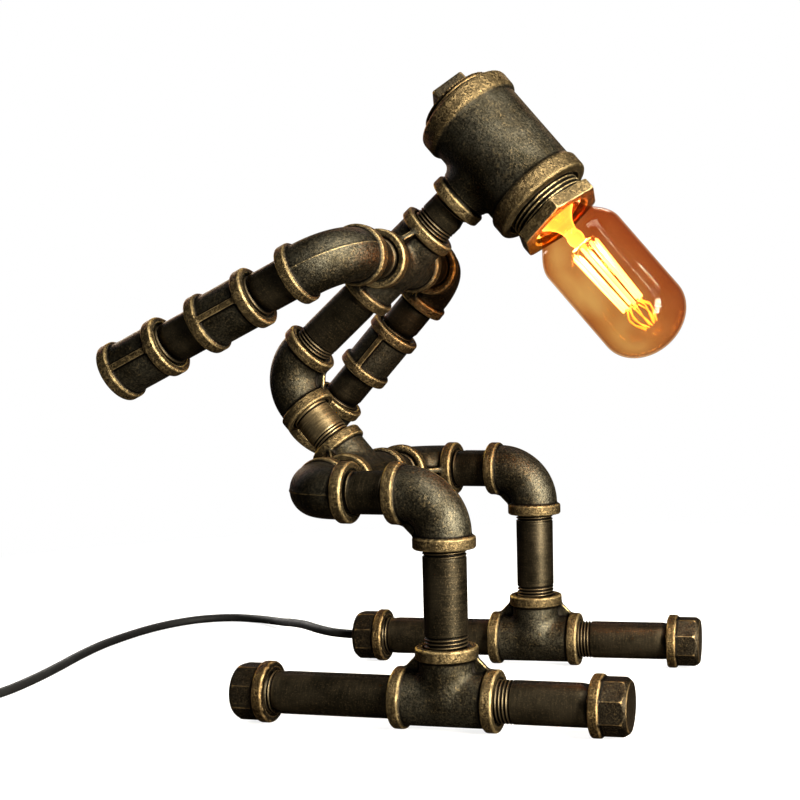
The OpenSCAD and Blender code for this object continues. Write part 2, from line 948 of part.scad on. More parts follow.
// From the heel to the switch
CORD_TO_SWITCH = [
  cord_exit + straight * heel_dir,
  [-125, 64.6, 15.5], [-134.5, 69, 15.6], [-142.5, 74.3, 15.6],
  [-156, 86.5, 14.8], [-169, 100.5, 12.5], [-181, 115.7, 9.6],
  [-193.5, 131, 6.4], [-208, 145, 4], [-226, 154.5, 2.9],
  [-247, 156.5, cord_z], [-265, 147, cord_z], [-276, 129.5, cord_z],
  [-281.5, 108, cord_z], [-283, 84, cord_z], [-282, 58, cord_z],
  [-277, 28, cord_z], [-270, -2, cord_z], [-264.5, -30, cord_z],
  [-261.5, -56, cord_z], [-261, -76, 3.6],
  switch_c + [0, switch_end + straight, switch_cord_z]
];

// From the switch into the coil
CORD_TO_COIL = [
  switch_c + [0, -switch_end - straight, switch_cord_z],
  [-261, -182, 4], [-261, -192, 3], [-261, -203, cord_z]
];

// From the top of the coil to the plug
CORD_TO_PLUG = [
  [-319, -203, 13.5], [-319, -190, 13.3], [-319, -175, 9.2], [-319, -168, 7.6],
  plug_c + [0, -sleeve_l - straight, plug_t / 2]
];

module cord_bush() {
  hole_r = outlet_d / 2 - slip_fit;
  color(black_rubber)
    translate(heel_face)
      aim(heel_dir)
        rotate_extrude()
          polygon([
            [0, bush_proud], [bush_flange_d / 2 - 0.6, bush_proud],
            [bush_flange_d / 2, bush_proud - 0.8], [bush_flange_d / 2, 0],
            [hole_r, 0], [hole_r, -bush_inner_t],
            [bush_flange_d / 2, -bush_inner_t],
            [bush_flange_d / 2 - 0.6, -bush_inner_t - bush_flange_t],
            [lead_d / 2 + 1, -bush_inner_t - bush_flange_t],
            [lead_d / 2 + 0.4, -bush_inner_t - bush_flange_t - bush_tail],
            [0, -bush_inner_t - bush_flange_t - bush_tail]
          ]);
}

module cord() {
  color(black_rubber) {
    tube(concat(
      [cord_exit], smooth(CORD_TO_SWITCH), [switch_c + [0, switch_end, switch_cord_z]]
    ), cord_d, [0, 0, 1]);
    tube(concat(
      [switch_c + [0, -switch_end, switch_cord_z]], smooth(CORD_TO_COIL)
    ), cord_d, [0, 0, 1]);
    tube(concat(
      smooth(CORD_TO_PLUG), [plug_c + [0, -sleeve_l, plug_t / 2]]
    ), cord_d, [0, 0, 1]);
  }
}

module cord_coil() {
  near = (coil_mid_d - coil_columns * cord_d) / 2;
  far = near + coil_columns * cord_d;
  top = coil_rows * cord_d;
  edge = cord_d / 2;
  color(black_rubber)
    translate(coil_c)
      rotate_extrude()
        polygon(concat(
          arc([near + edge, edge], edge, 270, 180, 3),
          arc([near + edge, top - edge], edge, 180, 90, 3),
          arc([far - edge, top - edge], edge, 90, 0, 3),
          arc([far - edge, edge], edge, 0, -90, 3)
        ));
}

pocket_gap = 0.5;
pocket_depth = 9;
pivot_z = switch_h - 3.5;
rocker_depth = 3;
rocker_rise = 5.5; // from the pivot to the rocker's raised ends
rocker_draft = 0.6; // how far the raised ends lean in

module switch_housing() {
  flat_w = switch_w - 2 * switch_r;
  flat_l = switch_l - 2 * switch_r;
  color(black_rubber)
    translate(switch_c)
      difference() {
        union() {
          linear_extrude(switch_h) {
            square([switch_w, flat_l], center = true);
            square([flat_w, switch_l], center = true);
            for (x = [-1, 1], y = [-1, 1])
              translate([x * flat_w / 2, y * flat_l / 2]) circle(r = switch_r);
          }
          for (s = [-1, 1])
            translate([0, s * switch_end, switch_cord_z])
              rotate([90 * s, 0, 0])
                cylinder(h = switch_end - switch_l / 2 + 1, d = collar_d);
        }
        translate([0, 0, switch_h])
          cube([
            rocker_w + 2 * pocket_gap, rocker_l + 2 * pocket_gap, 2 * pocket_depth
          ], center = true);
        translate([0, 0, pivot_z])
          rotate([0, 90, 0])
            cylinder(h = rocker_w + 6, d = pivot_d + 2 * pivot_fit, center = true);
      }
}

module switch_rocker() {
  half = rocker_l / 2;
  color("#2b2b2b")
    translate(switch_c + [0, 0, pivot_z])
      rotate([rocker_tilt, 0, 0]) {
        translate([-rocker_w / 2, 0, 0])
          rotate([90, 0, 90])
            linear_extrude(rocker_w)
              polygon([
                [-half, -rocker_depth], [half, -rocker_depth],
                [half - rocker_draft, rocker_rise], [0, rocker_rise - 1.7],
                [-half + rocker_draft, rocker_rise]
              ]);
        rotate([0, 90, 0]) cylinder(h = rocker_w + 5, d = pivot_d, center = true);
      }
}

module plug_body() {
  grip_w = 15;
  color(black_rubber)
    translate(plug_c) {
      linear_extrude(plug_t)
        polygon([
          [-grip_w / 2, 0], [grip_w / 2, 0], [grip_w / 2, plug_l * 0.35],
          [plug_w / 2, plug_l * 0.75], [plug_w / 2, plug_l],
          [-plug_w / 2, plug_l], [-plug_w / 2, plug_l * 0.75],
          [-grip_w / 2, plug_l * 0.35]
        ]);
      translate([0, 1, plug_t / 2])
        rotate([90, 0, 0])
          cylinder(h = sleeve_l + 1, d1 = 11, d2 = cord_d + 1.2);
    }
}

module plug_pins() {
  color(nickel)
    for (s = [-1, 1])
      translate(plug_c + [s * pin_pitch / 2, plug_l, plug_t / 2])
        rotate([-90, 0, 0])
          cylinder(h = pin_l, d = pin_d);
}

foot_tee(RIGHT);  // foot_tee_r
foot_tee(LEFT);  // foot_tee_l
toe_nipple(RIGHT);  // toe_nipple_r
toe_nipple(LEFT);  // toe_nipple_l
heel_nipple(RIGHT);  // heel_nipple_r
heel_nipple(LEFT);  // heel_nipple_l
toe_cap(RIGHT);  // toe_cap_r
toe_cap(LEFT);  // toe_cap_l
heel_cap(RIGHT);  // heel_cap_r
heel_cap(LEFT);  // heel_cap_l
shin_pipe(RIGHT);  // shin_pipe_r
shin_pipe(LEFT);  // shin_pipe_l
knee_elbow(RIGHT);  // knee_elbow_r
knee_elbow(LEFT);  // knee_elbow_l
thigh_nipple(RIGHT);  // thigh_nipple_r
thigh_nipple(LEFT);  // thigh_nipple_l
hip_elbow(RIGHT);  // hip_elbow_r
hip_elbow(LEFT);  // hip_elbow_l
hip_nipple(RIGHT);  // hip_nipple_r
hip_nipple(LEFT);  // hip_nipple_l
hip_tee();
waist_nipple();
back_elbow();
torso_pipe();
shoulder_cross();
shoulder_nipple(RIGHT);  // shoulder_nipple_r
shoulder_nipple(LEFT);  // shoulder_nipple_l
shoulder_elbow(RIGHT);  // shoulder_elbow_r
shoulder_elbow(LEFT);  // shoulder_elbow_l
upper_arm_nipple(RIGHT);  // upper_arm_nipple_r
upper_arm_nipple(LEFT);  // upper_arm_nipple_l
elbow_coupling(RIGHT);  // elbow_coupling_r
elbow_coupling(LEFT);  // elbow_coupling_l
forearm_nipple(RIGHT);  // forearm_nipple_r
forearm_nipple(LEFT);  // forearm_nipple_l
hand_coupling(RIGHT);  // hand_coupling_r
hand_coupling(LEFT);  // hand_coupling_l
neck_nipple();
head_tee();
crown_plug();
lamp_bushing();
holder_body();
holder_shell();
centre_contact();
bulb_glass();
bulb_cap();
bulb_insulator();
bulb_tip();
bulb_stem();
bulb_filaments();
lead_lower();
lead_upper();
cord_bush();
cord();
cord_coil();
switch_housing();
switch_rocker();
plug_body();
plug_pins();
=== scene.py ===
"""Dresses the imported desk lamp: a standing figure put together from iron pipe
fittings, with a tubular bulb for a face.  Lengths are in millimetres, which MM
turns into Blender's metres, and lights and shades alone are in metres."""

import math

import bpy
import numpy as np
from mathutils import Matrix, Vector


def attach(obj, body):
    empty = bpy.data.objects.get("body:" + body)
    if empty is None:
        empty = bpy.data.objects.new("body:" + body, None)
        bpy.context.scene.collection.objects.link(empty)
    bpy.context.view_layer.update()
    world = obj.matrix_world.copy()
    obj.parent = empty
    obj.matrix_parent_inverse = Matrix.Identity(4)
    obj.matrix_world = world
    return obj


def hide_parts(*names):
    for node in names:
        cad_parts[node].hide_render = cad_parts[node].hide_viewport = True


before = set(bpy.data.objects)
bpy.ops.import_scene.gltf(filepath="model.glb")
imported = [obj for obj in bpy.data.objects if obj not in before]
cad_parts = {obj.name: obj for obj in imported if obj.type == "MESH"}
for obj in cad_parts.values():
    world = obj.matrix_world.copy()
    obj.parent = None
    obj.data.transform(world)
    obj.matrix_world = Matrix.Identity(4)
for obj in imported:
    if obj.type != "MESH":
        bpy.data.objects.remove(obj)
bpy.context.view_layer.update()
MM = 0.001
SIDES = {"r": -1, "l": 1}

# ---- Sizes, as in the part's source ----

# Pipes, and how far they go into a fitting past its countersink
PIPE_R, BORE_R, PIPE_CHAMFER = 10.65, 7.9, 0.8
THREAD_IN, THREAD_FIT, SINK = 12.5, 0.05, 1.5
PITCH, THREAD_DEPTH = 1.814, 1.1

# Fittings: REACH is from the centre of an elbow, tee or cross to its face
REACH, BEAD_R, BEAD_W, BODY_R = 26.3, 15.3, 6.0, 13.4
BEND_R, WEB_T, SEAM_H, SEAM_W = 19.8, 2.6, 0.35, 0.7
EDGE_R, ARM_FILLET, BEAD_FILLET, WEB_FILLET = 1.2, 3.0, 1.6, 1.5
COUPLING_LEN, RIB_W, RIB_H, RIB_FILLET = 34.0, 3.0, 1.3, 0.8
OPEN_BORE_R, OPEN_THREAD = 9.315, 0.45
CAP_RIM_W, CAP_FLATS, CAP_END_LEN, CAP_DEPTH, OUTLET_R = 5.5, 26.6, 13.0, 14.0, 3.8

# Bare lengths between fittings, and the figure's pose in degrees
GAP, HEEL_GAP, SHIN_GAP, TORSO_GAP, NECK_GAP = 20.5, 64.5, 47.5, 40.0, 17.0
TOE_GAP = {"r": 46.0, "l": 52.0}
LEAN = 41.0
TOE_TURN = {"r": 2.0, "l": 5.0}
ARM_DROP = {"r": 25.0, "l": 47.0}

# Head, its square plug and its hexagon bushing
HEAD_REACH, HEAD_HALF = 37.0, 33.0
HEAD_BEAD_R, HEAD_BEAD_W, HEAD_BODY_R, HEAD_THREAD_R = 27.6, 9.5, 25.7, 20.95
CHAMBER_R, HEAD_PITCH, HEAD_EDGE, HEAD_SINK = 20.0, 2.309, 1.8, 1.8
CONE_R, CONE_LEN, CONE_END = 17.5, 8, 28
PLUG_GAP, PLUG_SQUARE, PLUG_SQUARE_LEN, PLUG_TURN, PLUG_WALL = 5.0, 19.5, 8.5, 25.0, 5.0
PLUG_TAPER, PLUG_THREAD, BUSH_THREAD = 0.04, 1.0, 1.15
BUSH_GAP, HEX_LEN, HEX_FLATS, HEX_TURN, BUSH_BORE_R = 7.0, 7.0, 44.5, 14.0, 16.5

# Bulb: q is counted along it from its neck, and the twist is in radians
BULB_CAP_R, BULB_CAP_WALL, BULB_RECESS, BULB_R = 13.1, 0.5, 2.5, 24.0
GLASS_LEN, DOME_LEN, SHOULDER_LEN, GLASS_T = 86.0, 19.5, 20.0, 0.8
STICKS, STICK_R, STICK_NEAR_R, STICK_FAR_R, STICK_LEN, STICK_Q = 8, 0.9, 7.75, 6.0, 38.0, 21.0
WIRE_R, CROWN_WIRES, CROWN_WIRE_R, CROWN_TWIST = 0.28, 10, 0.4, 0.1

# Cord, its coil, its switch and its plug
CORD_D, CORD_LEN, COIL_MID_R = 5.4, 1800.0, 29.1
BUSH_PROUD, STRAIGHT = 1.6, 4.0
SWITCH_L, SWITCH_W, SWITCH_H, SWITCH_END, SWITCH_CORD_Z = 60.0, 26.0, 16.0, 35.0, 6.0
SWITCH_CORNER, SWITCH_EDGE, COLLAR_R = 8.0, 2.2, 4.5
ROCKER_L, ROCKER_W, ROCKER_FIT, POCKET_DEPTH, POCKET_RIM = 21.0, 12.0, 0.5, 9, 2.5
MAINS_L, MAINS_W, MAINS_T, MAINS_EDGE, GRIP_HALF = 36.0, 27.0, 14.0, 3.0, 7.5
SLEEVE_L, SLEEVE_R, SLEEVE_TAPER, SLEEVE_RIB, SLEEVE_PITCH = 20.0, 5.5, 2.3, 0.3, 3.3
PIN_R, PIN_L, PIN_PITCH = 2.0, 19.0, 18.6

FOOT_Z = BEAD_R
KNEE_Z = FOOT_Z + 2 * REACH + SHIN_GAP
LEG_Y = 2 * REACH + GAP
HIP_X = -LEG_Y
SPAN = 2 * REACH + GAP
TORSO_SPAN = 2 * REACH + TORSO_GAP
HEAD_X = TORSO_SPAN + REACH + NECK_GAP + HEAD_REACH
HEX_BACK = HEAD_HALF + BUSH_GAP
HEX_FRONT = HEX_BACK + HEX_LEN
CORD_R = CORD_D / 2
DIAGONAL = 0.7071  # one over the root of two
SWITCH_C = np.array([-261.0, -131.0, 0.0])
COIL_C = np.array([-295.5, -215.0, 0.0])
MAINS_C = np.array([-319.0, -138.0, 0.0])

# ---- Frames ----


def shift(x=0.0, y=0.0, z=0.0):
    return Matrix.Translation((x, y, z))


def turn(degrees, axis):
    return Matrix.Rotation(math.radians(degrees), 4, axis)


def aim(v):
    """Turns +Z to the direction v."""
    v = Vector(v).normalized()
    return turn(math.degrees(math.atan2(v.y, v.x)), "Z") @ turn(
        math.degrees(math.acos(v.z)), "Y"
    )


TORSO = shift(HIP_X, 0, KNEE_Z) @ turn(-LEAN, "Y")
HEAD = TORSO @ shift(HEAD_X, 0, SPAN) @ turn(180, "X")
FOOT = {k: shift(0, s * LEG_Y, FOOT_Z) @ turn(TOE_TURN[k], "Z") for k, s in SIDES.items()}
CHEST = TORSO @ shift(TORSO_SPAN, 0, SPAN)
ARM = {
    k: shift(*(CHEST.translation + Vector((0, s * LEG_Y, 0)))) @ turn(180 - ARM_DROP[k], "Y")
    for k, s in SIDES.items()
}
BULB = HEAD @ shift(z=HEX_FRONT - BULB_RECESS)
AHEAD, BEHIND = aim((1, 0, 0)), aim((-1, 0, 0))

# ---- Camera ----

CAMERA_AT = (233.15, -676.4, 178.81)
CAMERA_AZ, CAMERA_EL, CAMERA_ROLL = 14.28, 5.26, -0.69
FOCAL_PX, CENTRE_PX, FRAME_PX, SENSOR = 1350.23, (604.3, 482.8), 800, 36.0


def make_camera():
    data = bpy.data.cameras.new("camera")
    data.sensor_width = SENSOR
    data.lens = SENSOR * FOCAL_PX / FRAME_PX
    data.shift_x = 0.5 - CENTRE_PX[0] / FRAME_PX
    data.shift_y = CENTRE_PX[1] / FRAME_PX - 0.5
    data.clip_end = 50
    camera = bpy.data.objects.new("camera", data)
    az, el = math.radians(CAMERA_AZ), math.radians(CAMERA_EL)
    ahead = Vector((-math.sin(az) * math.cos(el), math.cos(az) * math.cos(el), -math.sin(el)))
    right = Vector((math.cos(az), math.sin(az), 0))
    up = right.cross(ahead)
    placed = Matrix((right, up, -ahead)).transposed().to_4x4()
    camera.matrix_world = shift(*(MM * x for x in CAMERA_AT)) @ placed @ turn(CAMERA_ROLL, "Z")
    bpy.context.scene.collection.objects.link(camera)
    bpy.context.scene.camera = camera


make_camera()

# ---- Meshes ----


def add_piece(name, points, faces, place, body, replaces=(), slot=None, **marks):
    """A mesh piece from points in mm in its own frame, put at place. Each mark
    is a value per point: grain is where textures are read, curve is 1 on
    convex edges and -1 in grooves, zone picks out a region."""
    m = np.array(place)
    placed = (points @ m[:3, :3].T + m[:3, 3]) * MM
    mesh = bpy.data.meshes.new(name)
    mesh.from_pydata(placed.tolist(), [], [tuple(f) for f in faces])
    marks.setdefault("grain", points + m[:3, 3])
    for key, values in marks.items():
        vector = np.ndim(values) == 2
        layer = mesh.attributes.new(key, "FLOAT_VECTOR" if vector else "FLOAT", "POINT")
        layer.data.foreach_set("vector" if vector else "value", np.ravel(values).astype(np.float32))
    mesh.shade_smooth()
    mesh.validate()
    piece = bpy.data.objects.new(name, mesh)
    bpy.context.scene.collection.objects.link(piece)
    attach(piece, body)
    if replaces:
        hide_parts(*replaces)
    return piece


def contour(field, low, high, step):
    """Points and faces of the surface field = 0 inside the box low to high."""
    axes = [np.arange(a, b + step, step) for a, b in zip(low, high)]
    inside = field(np.stack(np.meshgrid(*axes, indexing="ij"), -1)) < 0
    nx, ny, nz = (n - 1 for n in inside.shape)
    corners = sum(
        inside[i : nx + i, j : ny + j, k : nz + k].astype(int)
        for i in (0, 1)
        for j in (0, 1)
        for k in (0, 1)
    )
    mixed = (corners > 0) & (corners < 8)
    index = -np.ones(mixed.shape, int)
    index[mixed] = np.arange(mixed.sum())
    points = np.array(low) + (np.argwhere(mixed) + 0.5) * step
    faces = []
    for axis in range(3):
        u, v = (axis + 1) % 3, (axis + 2) % 3
        lower = np.take(inside, range(inside.shape[axis] - 1), axis)
        upper = np.take(inside, range(1, inside.shape[axis]), axis)
        at = np.argwhere(lower != upper)
        solid_below = lower[tuple(at.T)]
        quad = []
        for du, dv in ((1, 1), (0, 1), (0, 0), (1, 0)):
            cell = at.copy()
            cell[:, u] -= du
            cell[:, v] -= dv
            quad.append(index[tuple(cell.T)])
        quad = np.stack(quad, 1)
        quad[~solid_below] = quad[~solid_below][:, ::-1]
        faces.append(quad)
    for _ in range(4):  # steps on to the surface itself
        away, slope = gradient(field, points)
        move = np.clip(away / np.maximum((slope**2).sum(1), 0.2), -step, step)
        points = points - 0.9 * move[:, None] * slope
    return points, np.concatenate(faces)


def gradient(field, points, h=0.05):
    """The field at the points, and its slope there."""
    slope = np.stack(
        [field(points + h * e) - field(points - h * e) for e in np.eye(3)], 1
    ) / (2 * h)
    return field(points), slope


def edge_marks(field, points, h=0.9, sharp=0.2):
    """1 where the surface is a convex edge, -1 where it is a groove."""
    _, slope = gradient(field, points)
    normal = slope / np.maximum(np.linalg.norm(slope, axis=1), 1e-6)[:, None]
    helper = np.where(np.abs(normal[:, 2:]) < 0.9, [[0, 0, 1.0]], [[1.0, 0, 0]])
    u = np.cross(normal, helper)
    u /= np.linalg.norm(u, axis=1)[:, None]
    v = np.cross(normal, u)
    rise = sum(field(points + h * t) for t in (u, -u, v, -v)) / 4 - field(points)
    return np.clip(rise / sharp, -1, 1)


SHAPES = {}


def casting(name, kind, shape, low, high, step, place, body, **facts):
    """A piece whose surface is the field shape(points)[0] = 0. Pieces of one
    kind share the work. shape's second value is the field without its beads."""
    if kind not in SHAPES:

        def field(p):
            return shape(p)[0]

        points, faces = contour(field, low, high, step)
        raised = np.clip((shape(points)[1] - 0.5) / 0.8, 0, 1)
        SHAPES[kind] = points, faces, edge_marks(field, points), raised
    points, faces, curve, zone = SHAPES[kind]
    return add_piece(name, points, faces, place, body, curve=curve, zone=zone, **facts)


# ---- Distance fields, in mm: negative inside ----


def smooth_min(a, b, k):
    """Both shapes as one, with a fillet of about k between them."""
    h = np.clip(0.5 + 0.5 * (b - a) / k, 0, 1)
    return b + (a - b) * h - k * h * (1 - h)


def smooth_max(a, b, k):
    """What both shapes share, its edge rounded by about k."""
    return -smooth_min(-a, -b, k)


def rounded(dx, dy, r):
    """Where two walls meet in an edge rounded to r."""
    dx, dy = dx + r, dy + r
    outside = np.hypot(np.maximum(dx, 0), np.maximum(dy, 0))
    return outside + np.minimum(np.maximum(dx, dy), 0) - r


def split(p):
    return p[..., 0], p[..., 1], p[..., 2]


def ring(along, radial, near, far, r, edge=EDGE_R):
    """A round disc of radius r from near to far."""
    return rounded(np.abs(along - (near + far) / 2) - (far - near) / 2, radial - r, edge)


def mouth(along, radial, reach=REACH, way=BORE_R):
    """The threaded hole in the end of an arm, with its countersink, and the way on."""
    flare = np.clip(along - reach + SINK, 0, SINK)
    hole = np.maximum(radial - (PIPE_R + THREAD_FIT) - flare, reach - THREAD_IN - along)
    return np.minimum(hole, np.maximum(radial - way, -along))


def web(a, b, across):
    """The plate in the corner between two arms along a and b."""
    edge = BODY_R + 0.2
    far = REACH - BEAD_W / 2
    plate = np.maximum((a + b - edge - far) * DIAGONAL, np.maximum(a, b) - far)
    plate = np.maximum(plate, -np.minimum(a, b))
    return smooth_max(plate, np.abs(across) - WEB_T / 2, 0.8)


def arms_shape(p, arms, corners):
    """Arms along signed axes that meet in one centre, webs in their corners."""
    body = beads = holes = None
    for axis in sorted({a for a, _ in arms}):
        signs = [sign for a, sign in arms if a == axis]
        radial = np.hypot(*(p[..., i] for i in range(3) if i != axis))
        along = np.abs(p[..., axis]) if len(signs) == 2 else signs[0] * p[..., axis]
        shaft = np.maximum(radial - BODY_R, along - REACH + 1)
        hole = mouth(along, radial)
        if len(signs) == 2:
            hole = np.minimum(hole, radial - BORE_R)
        else:
            shaft = np.maximum(shaft, -along)
        bead = ring(along, radial, REACH - BEAD_W, REACH, BEAD_R)
        body = shaft if body is None else smooth_min(body, shaft, ARM_FILLET)
        beads = bead if beads is None else np.minimum(beads, bead)
        holes = hole if holes is None else np.minimum(holes, hole)
    for (a, sa), (b, sb) in corners:
        across = p[..., 3 - a - b]
        body = smooth_min(body, web(sa * p[..., a], sb * p[..., b], across), WEB_FILLET)
    return np.maximum(smooth_min(body, beads, BEAD_FILLET), -holes), body


def tee_shape(p):
    arms = [(0, 1), (0, -1), (2, 1)]
    return arms_shape(p, arms, [(arms[0], arms[2]), (arms[1], arms[2])])


def cross_shape(p):
    arms = [(0, 1), (2, 1), (0, -1), (2, -1)]
    corners = [(arms[i], arms[(i + 1) % 4]) for i in range(4)]
    return arms_shape(p, arms, corners)


def elbow_shape(p):
    """Arms along +X and +Z, a true bend between them and a seam all along."""
    x, y, z = split(p)
    bend = np.hypot(np.hypot(x - BEND_R, z - BEND_R) - BEND_R, y)
    along_x, along_z = np.hypot(y, z), np.hypot(x, y)
    past_x, past_z = x > BEND_R, z > BEND_R
    middle = np.where(past_x & past_z, np.minimum(along_x, along_z), bend)
    middle = np.where(past_x & ~past_z, along_x, middle)
    middle = np.where(past_z & ~past_x, along_z, middle)
    seam = SEAM_H * np.exp(-((y / SEAM_W) ** 2))
    ends = np.maximum(x, z) - REACH
    body = np.maximum(middle - BODY_R - seam, ends + 1)
    body = smooth_min(body, web(x, z, y), WEB_FILLET)
    beads = np.minimum(
        ring(x, along_x, REACH - BEAD_W, REACH, BEAD_R),
        ring(z, along_z, REACH - BEAD_W, REACH, BEAD_R),
    )
    hole = np.minimum(mouth(x, along_x, way=0), mouth(z, along_z, way=0))
    hole = np.minimum(hole, middle - BORE_R)
    return np.maximum(smooth_min(body, beads, BEAD_FILLET), -hole), body


def coupling_shape(p, is_open):
    """A straight, ribbed coupling. An open one has an empty thread at +Z."""
    x, y, z = split(p)
    radial = np.hypot(x, y)
    body = ring(z, radial, 0.5, COUPLING_LEN - 0.5, BODY_R)
    plate = np.maximum(np.abs(x) - RIB_W / 2, np.abs(y) - BODY_R - RIB_H)
    ribs = np.maximum(plate, np.abs(z - COUPLING_LEN / 2) - COUPLING_LEN / 2 + BEAD_W / 2)
    beads = np.minimum(
        ring(z, radial, 0, BEAD_W, BEAD_R),
        ring(z, radial, COUPLING_LEN - BEAD_W, COUPLING_LEN, BEAD_R),
    )
    near = mouth(-z, radial, reach=0, way=0)
    far = mouth(z, radial, reach=COUPLING_LEN, way=0)
    if is_open:
        phase = 2 * math.pi * z / PITCH - np.arctan2(y, x)
        cut = OPEN_BORE_R + OPEN_THREAD * (1 + np.cos(phase))
        flare = np.clip(z - COUPLING_LEN + SINK, 0, SINK)
        far = np.maximum(radial - np.maximum(cut, OPEN_BORE_R + flare), THREAD_IN - z)
    hole = np.minimum(np.minimum(near, far), radial - BORE_R)
    whole = smooth_min(smooth_min(body, ribs, RIB_FILLET), beads, BEAD_FILLET)
    return np.maximum(whole, -hole), body


def cap_shape(p, outlet):
    """An octagonal cap with a round rim. One with an outlet lets the cord out."""
    x, y, z = split(p)
    radial = np.hypot(x, y)
    sides = [x, y, (x + y) * DIAGONAL, (x - y) * DIAGONAL]
    octagon = np.max(np.abs(sides), 0) - CAP_FLATS / 2
    length = CAP_RIM_W + CAP_END_LEN
    chamfer = (radial - CAP_FLATS / 2 + (z - length) * 0.8 + 1.0) * 0.78
    end = smooth_max(smooth_max(octagon, z - length, 0.7), chamfer, 0.5)
    end = np.maximum(end, -z)
    rim = ring(z, radial, 0, CAP_RIM_W, BEAD_R)
    hole = mouth(-z, radial, reach=0, way=0)
    hole = np.maximum(hole, z - CAP_DEPTH)
    if outlet:
        hole = np.minimum(hole, radial - OUTLET_R)
    return np.maximum(smooth_min(end, rim, 0.8), -hole), end


def head_shape(p):
    """The head: its run along Z, and its neck along -X."""
    x, y, z = split(p)
    radial = np.hypot(x, y)
    body = ring(z, radial, 1 - HEAD_HALF, HEAD_HALF - 1, HEAD_BODY_R)
    beads = ring(np.abs(z), radial, HEAD_HALF - HEAD_BEAD_W, HEAD_HALF, HEAD_BEAD_R, HEAD_EDGE)
    across = np.hypot(y, z)
    neck = np.maximum(np.maximum(across - BODY_R, -x - HEAD_REACH + 1), x)
    cone_r = BODY_R + (CONE_R - BODY_R) * np.clip((CONE_END + x) / CONE_LEN, 0, 1)
    cone = np.maximum(np.maximum(across - cone_r, -x - CONE_END), x)
    body = smooth_min(smooth_min(body, neck, 5.0), cone, 3.0)
    neck_bead = ring(-x, across, HEAD_REACH - BEAD_W, HEAD_REACH, BEAD_R)
    whole = smooth_min(smooth_min(body, beads, 2.4), neck_bead, BEAD_FILLET)
    flare = np.clip(np.abs(z) - HEAD_HALF + HEAD_SINK, 0, HEAD_SINK)
    thread = radial - HEAD_THREAD_R - THREAD_FIT - flare
    thread = np.maximum(thread, HEAD_HALF - THREAD_IN - np.abs(z))
    hole = np.minimum(np.minimum(radial - CHAMBER_R, thread), mouth(-x, across, HEAD_REACH))
    return np.maximum(whole, -hole), body


def threaded(z, x, y, r, pitch, depth, near, far):
    """A threaded rod from near to far; the thread runs out at both ends."""
    radial = np.hypot(x, y)
    fade = np.clip(np.minimum(z - near, far - z) / pitch, 0, 1)
    wave = 0.5 + 0.5 * np.cos(2 * math.pi * z / pitch - np.arctan2(y, x))
    return np.maximum(radial - r + depth * fade * wave, np.maximum(near - z, z - far))


def plug_shape(p):
    """The square-headed plug: +Z out of the back of the head."""
    x, y, z = split(p)
    a = math.radians(PLUG_TURN)
    u, v = x * math.cos(a) + y * math.sin(a), y * math.cos(a) - x * math.sin(a)
    top = PLUG_GAP + PLUG_SQUARE_LEN
    taper = PLUG_TAPER * (top - z)
    square = rounded(*(np.abs(w) - PLUG_SQUARE / 2 - taper + 0.2 for w in (u, v)), 1.4)
    square = smooth_max(square, np.maximum(z - top, 1 - z), 1.2)
    collar = threaded(z, x, y, HEAD_THREAD_R, HEAD_PITCH, PLUG_THREAD, -THREAD_IN, PLUG_GAP)
    hollow = np.maximum(np.hypot(x, y) - CHAMBER_R + PLUG_WALL, z + PLUG_WALL - PLUG_GAP)
    return np.maximum(smooth_min(square, collar, 1.0), -hollow), square


def bushing_shape(p):
    """The hexagon bushing, in the head's own frame."""
    x, y, z = split(p)
    radial = np.hypot(x, y)
    angles = [math.radians(HEX_TURN + 30 + 60 * k) for k in range(3)]
    flats = np.max([np.abs(x * math.cos(a) + y * math.sin(a)) for a in angles], 0)
    corner = HEX_FLATS / 2 / math.cos(math.radians(30))
    ends = np.abs(z - HEX_BACK - HEX_LEN / 2) - HEX_LEN / 2
    hexagon = rounded(ends, flats - HEX_FLATS / 2, 0.6)
    hexagon = smooth_max(hexagon, ring(z, radial, HEX_BACK, HEX_FRONT, corner, HEAD_EDGE), 0.6)
    near, far = HEAD_HALF - THREAD_IN, HEX_BACK + 0.5
    collar = threaded(z, x, y, HEAD_THREAD_R, HEAD_PITCH, BUSH_THREAD, near, far)
    hole = radial - BUSH_BORE_R - np.clip(z - HEX_FRONT + 0.8, 0, 0.8)
    return np.maximum(np.minimum(hexagon, collar), -hole), 1.5 - 4 * np.clip(hexagon, 0, 0.5)


# ---- Lathed pieces ----


def lathe(profile, count, closed=False):
    """Points and faces of a turned piece. profile is [(radius, z)], and a
    closed one joins its last ring to its first. radius may be an array of one
    value per step round."""
    a = np.linspace(0, 2 * math.pi, count, endpoint=False)
    rings = [np.stack([r * np.cos(a), r * np.sin(a), 0 * a + z], 1) for r, z in profile]
    total = len(rings)
    faces = []
    for i in range(total if closed else total - 1):
        j = (i + 1) % total
        for k in range(count):
            n = (k + 1) % count
            faces.append((i * count + k, i * count + n, j * count + n, j * count + k))
    return np.concatenate(rings), faces


